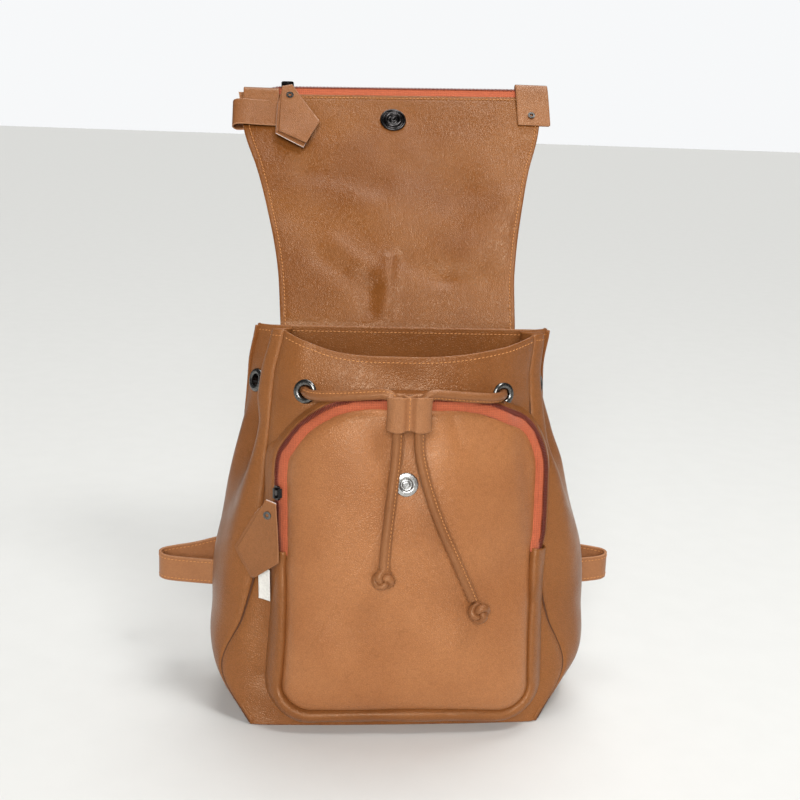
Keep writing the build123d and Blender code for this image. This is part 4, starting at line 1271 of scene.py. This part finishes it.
for side, sign in (("left", -1), ("right", 1)):
    leather_strap(f"lower_strap_{side}", LOWER_STRAP, sign, len(OUT_RUN), LOWER_STRAP_W, STRAP_T,
                  f"strap_lower_{side}")
    leather_strap(f"upper_strap_{side}", UPPER_STRAP, sign, 0, UPPER_STRAP_W, STRAP_T,
                  f"strap_upper_{side}")


def back_piece(name, z_low, z_high, half_width, thickness, node):
    """A leather piece sewn flat on the outside of the back, stitched round its edge."""
    across = edge_rows(40, length=2 * half_width) * 2 - 1
    up = np.linspace(z_low, z_high, 16)
    x = across[:, None] * half_width + 0 * up
    z = np.broadcast_to(up, x.shape)
    y = profile(z)[..., 10] + 0.15 + thickness
    grid = np.stack([x, y, z], axis=-1)[::-1]
    sheet(name, leaning(grid), thickness, TRIM_LEATHER, "bag", raw=TRIM_EDGE,
          stands_for=[node])
    lows, highs = z_low + 3.2, z_high - 3.2
    side = half_width - 3.2
    corners = np.array([(-side, lows), (side, lows), (side, highs), (-side, highs), (-side, lows)])
    line = resample(np.c_[corners, np.zeros(5)], 2.0)[:, :2]
    y = profile(line[:, 1])[..., 10] + 0.15 + thickness
    points = leaning(np.stack([line[:, 0], y, line[:, 1]], axis=1))
    return stitches(points, (0, 1, 0.1), 0.05)


runs = [back_piece("strap_patch_leather", 236, 273, 48, 1.5, "strap_anchor_patch")]

HAUL = [(40.2, 262.2), (43.2, 262.0), (46.4, 252), (49.2, 238), (47.8, 222), (46.2, 212.6), (40.8, 212.2),
        (39.8, 216),
        (39.6, 236), (39.7, 256), (40.2, 262.2)]
haul = fine_section(HAUL, 70)
haul_path = np.c_[np.zeros(len(haul)), haul][:-1]
haul_grid = band(haul_path, (1, 0, 0), 16.0)
sheet("haul_loop_leather", haul_grid[::-1], 1.6, TRIM_LEATHER, "haul", closed=True,
      raw=TRIM_EDGE, bulge=0.2, stands_for=["haul_loop"])


# ---------------------------------------------------------------- stitching on the body
def rim_runs():
    """Thread a little below the mouth's edge, on the front, the sides and inside the back."""
    x = np.linspace(-95, 95, 90)
    z = curve(RIM_X, RIM_Z, x) - RIM_STITCH
    found = [(np.stack([x, front_y(x, z), z], axis=1), (0, -1, 0.12))]
    share = np.linspace(0.04, 0.96, 60)
    for sign in (-1, 1):
        guess = gusset_points(share, np.full((60, 1), 306.0))[:, 0]
        guess = gusset_points(share, (side_rim(guess[:, 1]) - RIM_STITCH)[:, None])[:, 0]
        ahead = unit(np.gradient(guess, axis=0))
        out = np.stack([ahead[:, 1], -ahead[:, 0], 0 * share], axis=1)
        if sign < 0:
            guess, out = guess * np.array([-1, 1, 1]), out * np.array([-1, 1, 1])
        found.append((guess, out))
    back_x = np.linspace(-115, 115, 90)
    back_z = np.full(90, BACK_RIM_Z - RIM_STITCH)
    for shift, direction in ((0.0, 1), (-LEATHER_T, -1)):
        y = profile(back_z)[..., 10] + shift
        found.append((np.stack([back_x, y, back_z], axis=1), (0, direction, 0.1 * direction)))
    return [stitches(leaning(points), normal) for points, normal in found]


runs += rim_runs()
row = flange_grid[on_left > 0.9][:, 8]
runs.append(stitches(row, grid_normals(flange_grid)[on_left > 0.9][:, 8], 0.1))
bead_object("bag_thread", runs, THREAD, "bag")


# ---------------------------------------------------------------- floor and light
def area_light(name, place, aim, size, power):
    data = bpy.data.lights.new(name, "AREA")
    data.shape = "RECTANGLE"
    data.size, data.size_y = size
    data.energy = power
    light = bpy.data.objects.new(name, data)
    back = unit(np.array(place) - np.array(aim))
    right = unit(np.cross((0, 0, 1), back))
    matrix = np.eye(4)
    matrix[:3, :3] = np.stack([right, np.cross(back, right), back], axis=1)
    matrix[:3, 3] = place
    light.matrix_world = Matrix(matrix.tolist())
    bpy.context.scene.collection.objects.link(light)


def sun_light(name, towards, energy, softness):
    """Even light travelling one way, its source as wide as softness in degrees."""
    data = bpy.data.lights.new(name, "SUN")
    data.energy = energy
    data.angle = math.radians(softness)
    light = bpy.data.objects.new(name, data)
    light.rotation_euler = Vector(towards).to_track_quat("-Z", "Y").to_euler()
    bpy.context.scene.collection.objects.link(light)


FLOOR = plain("floor_paint", (0.73, 0.73, 0.705), (0.72, 0.72, 0.695), 30.0, 0.7, depth=0.0)
bpy.ops.mesh.primitive_plane_add(size=30)
floor = bpy.context.object
floor.name = "floor"
floor.location.z = -0.0004
floor.data.materials.append(FLOOR)


def sky():
    """A pale room, brighter in front than overhead and behind, seen by the camera as plain white."""
    world = bpy.data.worlds.new("studio")
    world.use_nodes = True
    tree = world.node_tree
    behind = tree.nodes.new("ShaderNodeVectorMath")
    behind.operation = "DOT_PRODUCT"
    behind.inputs[1].default_value = (0.0, 1.0, 0.3)
    tree.links.new(tree.nodes.new("ShaderNodeTexCoord").outputs["Generated"], behind.inputs[0])
    room = ramp(tree, behind.outputs["Value"], -1.0, 0.0, 0.25, 0.13)
    seen = tree.nodes.new("ShaderNodeLightPath").outputs["Is Camera Ray"]
    strength = maths(tree, "MAXIMUM", room, maths(tree, "MULTIPLY", seen, 1.0))
    background = tree.nodes["Background"]
    background.inputs["Color"].default_value = (0.93, 0.94, 0.95, 1)
    tree.links.new(strength, background.inputs["Strength"])
    bpy.context.scene.world = world


sky()
bpy.context.scene.view_settings.view_transform = "Standard"
area_light("sheen", (0.52, -0.55, 1.67), (0.05, 0.13, 0.42), (0.4, 0.4), 10.0)
sun_light("window", (0.12, 0.92, -0.38), 2.7, 30)
sun_light("daylight", (-0.13, -0.34, -0.93), 1.9, 40)
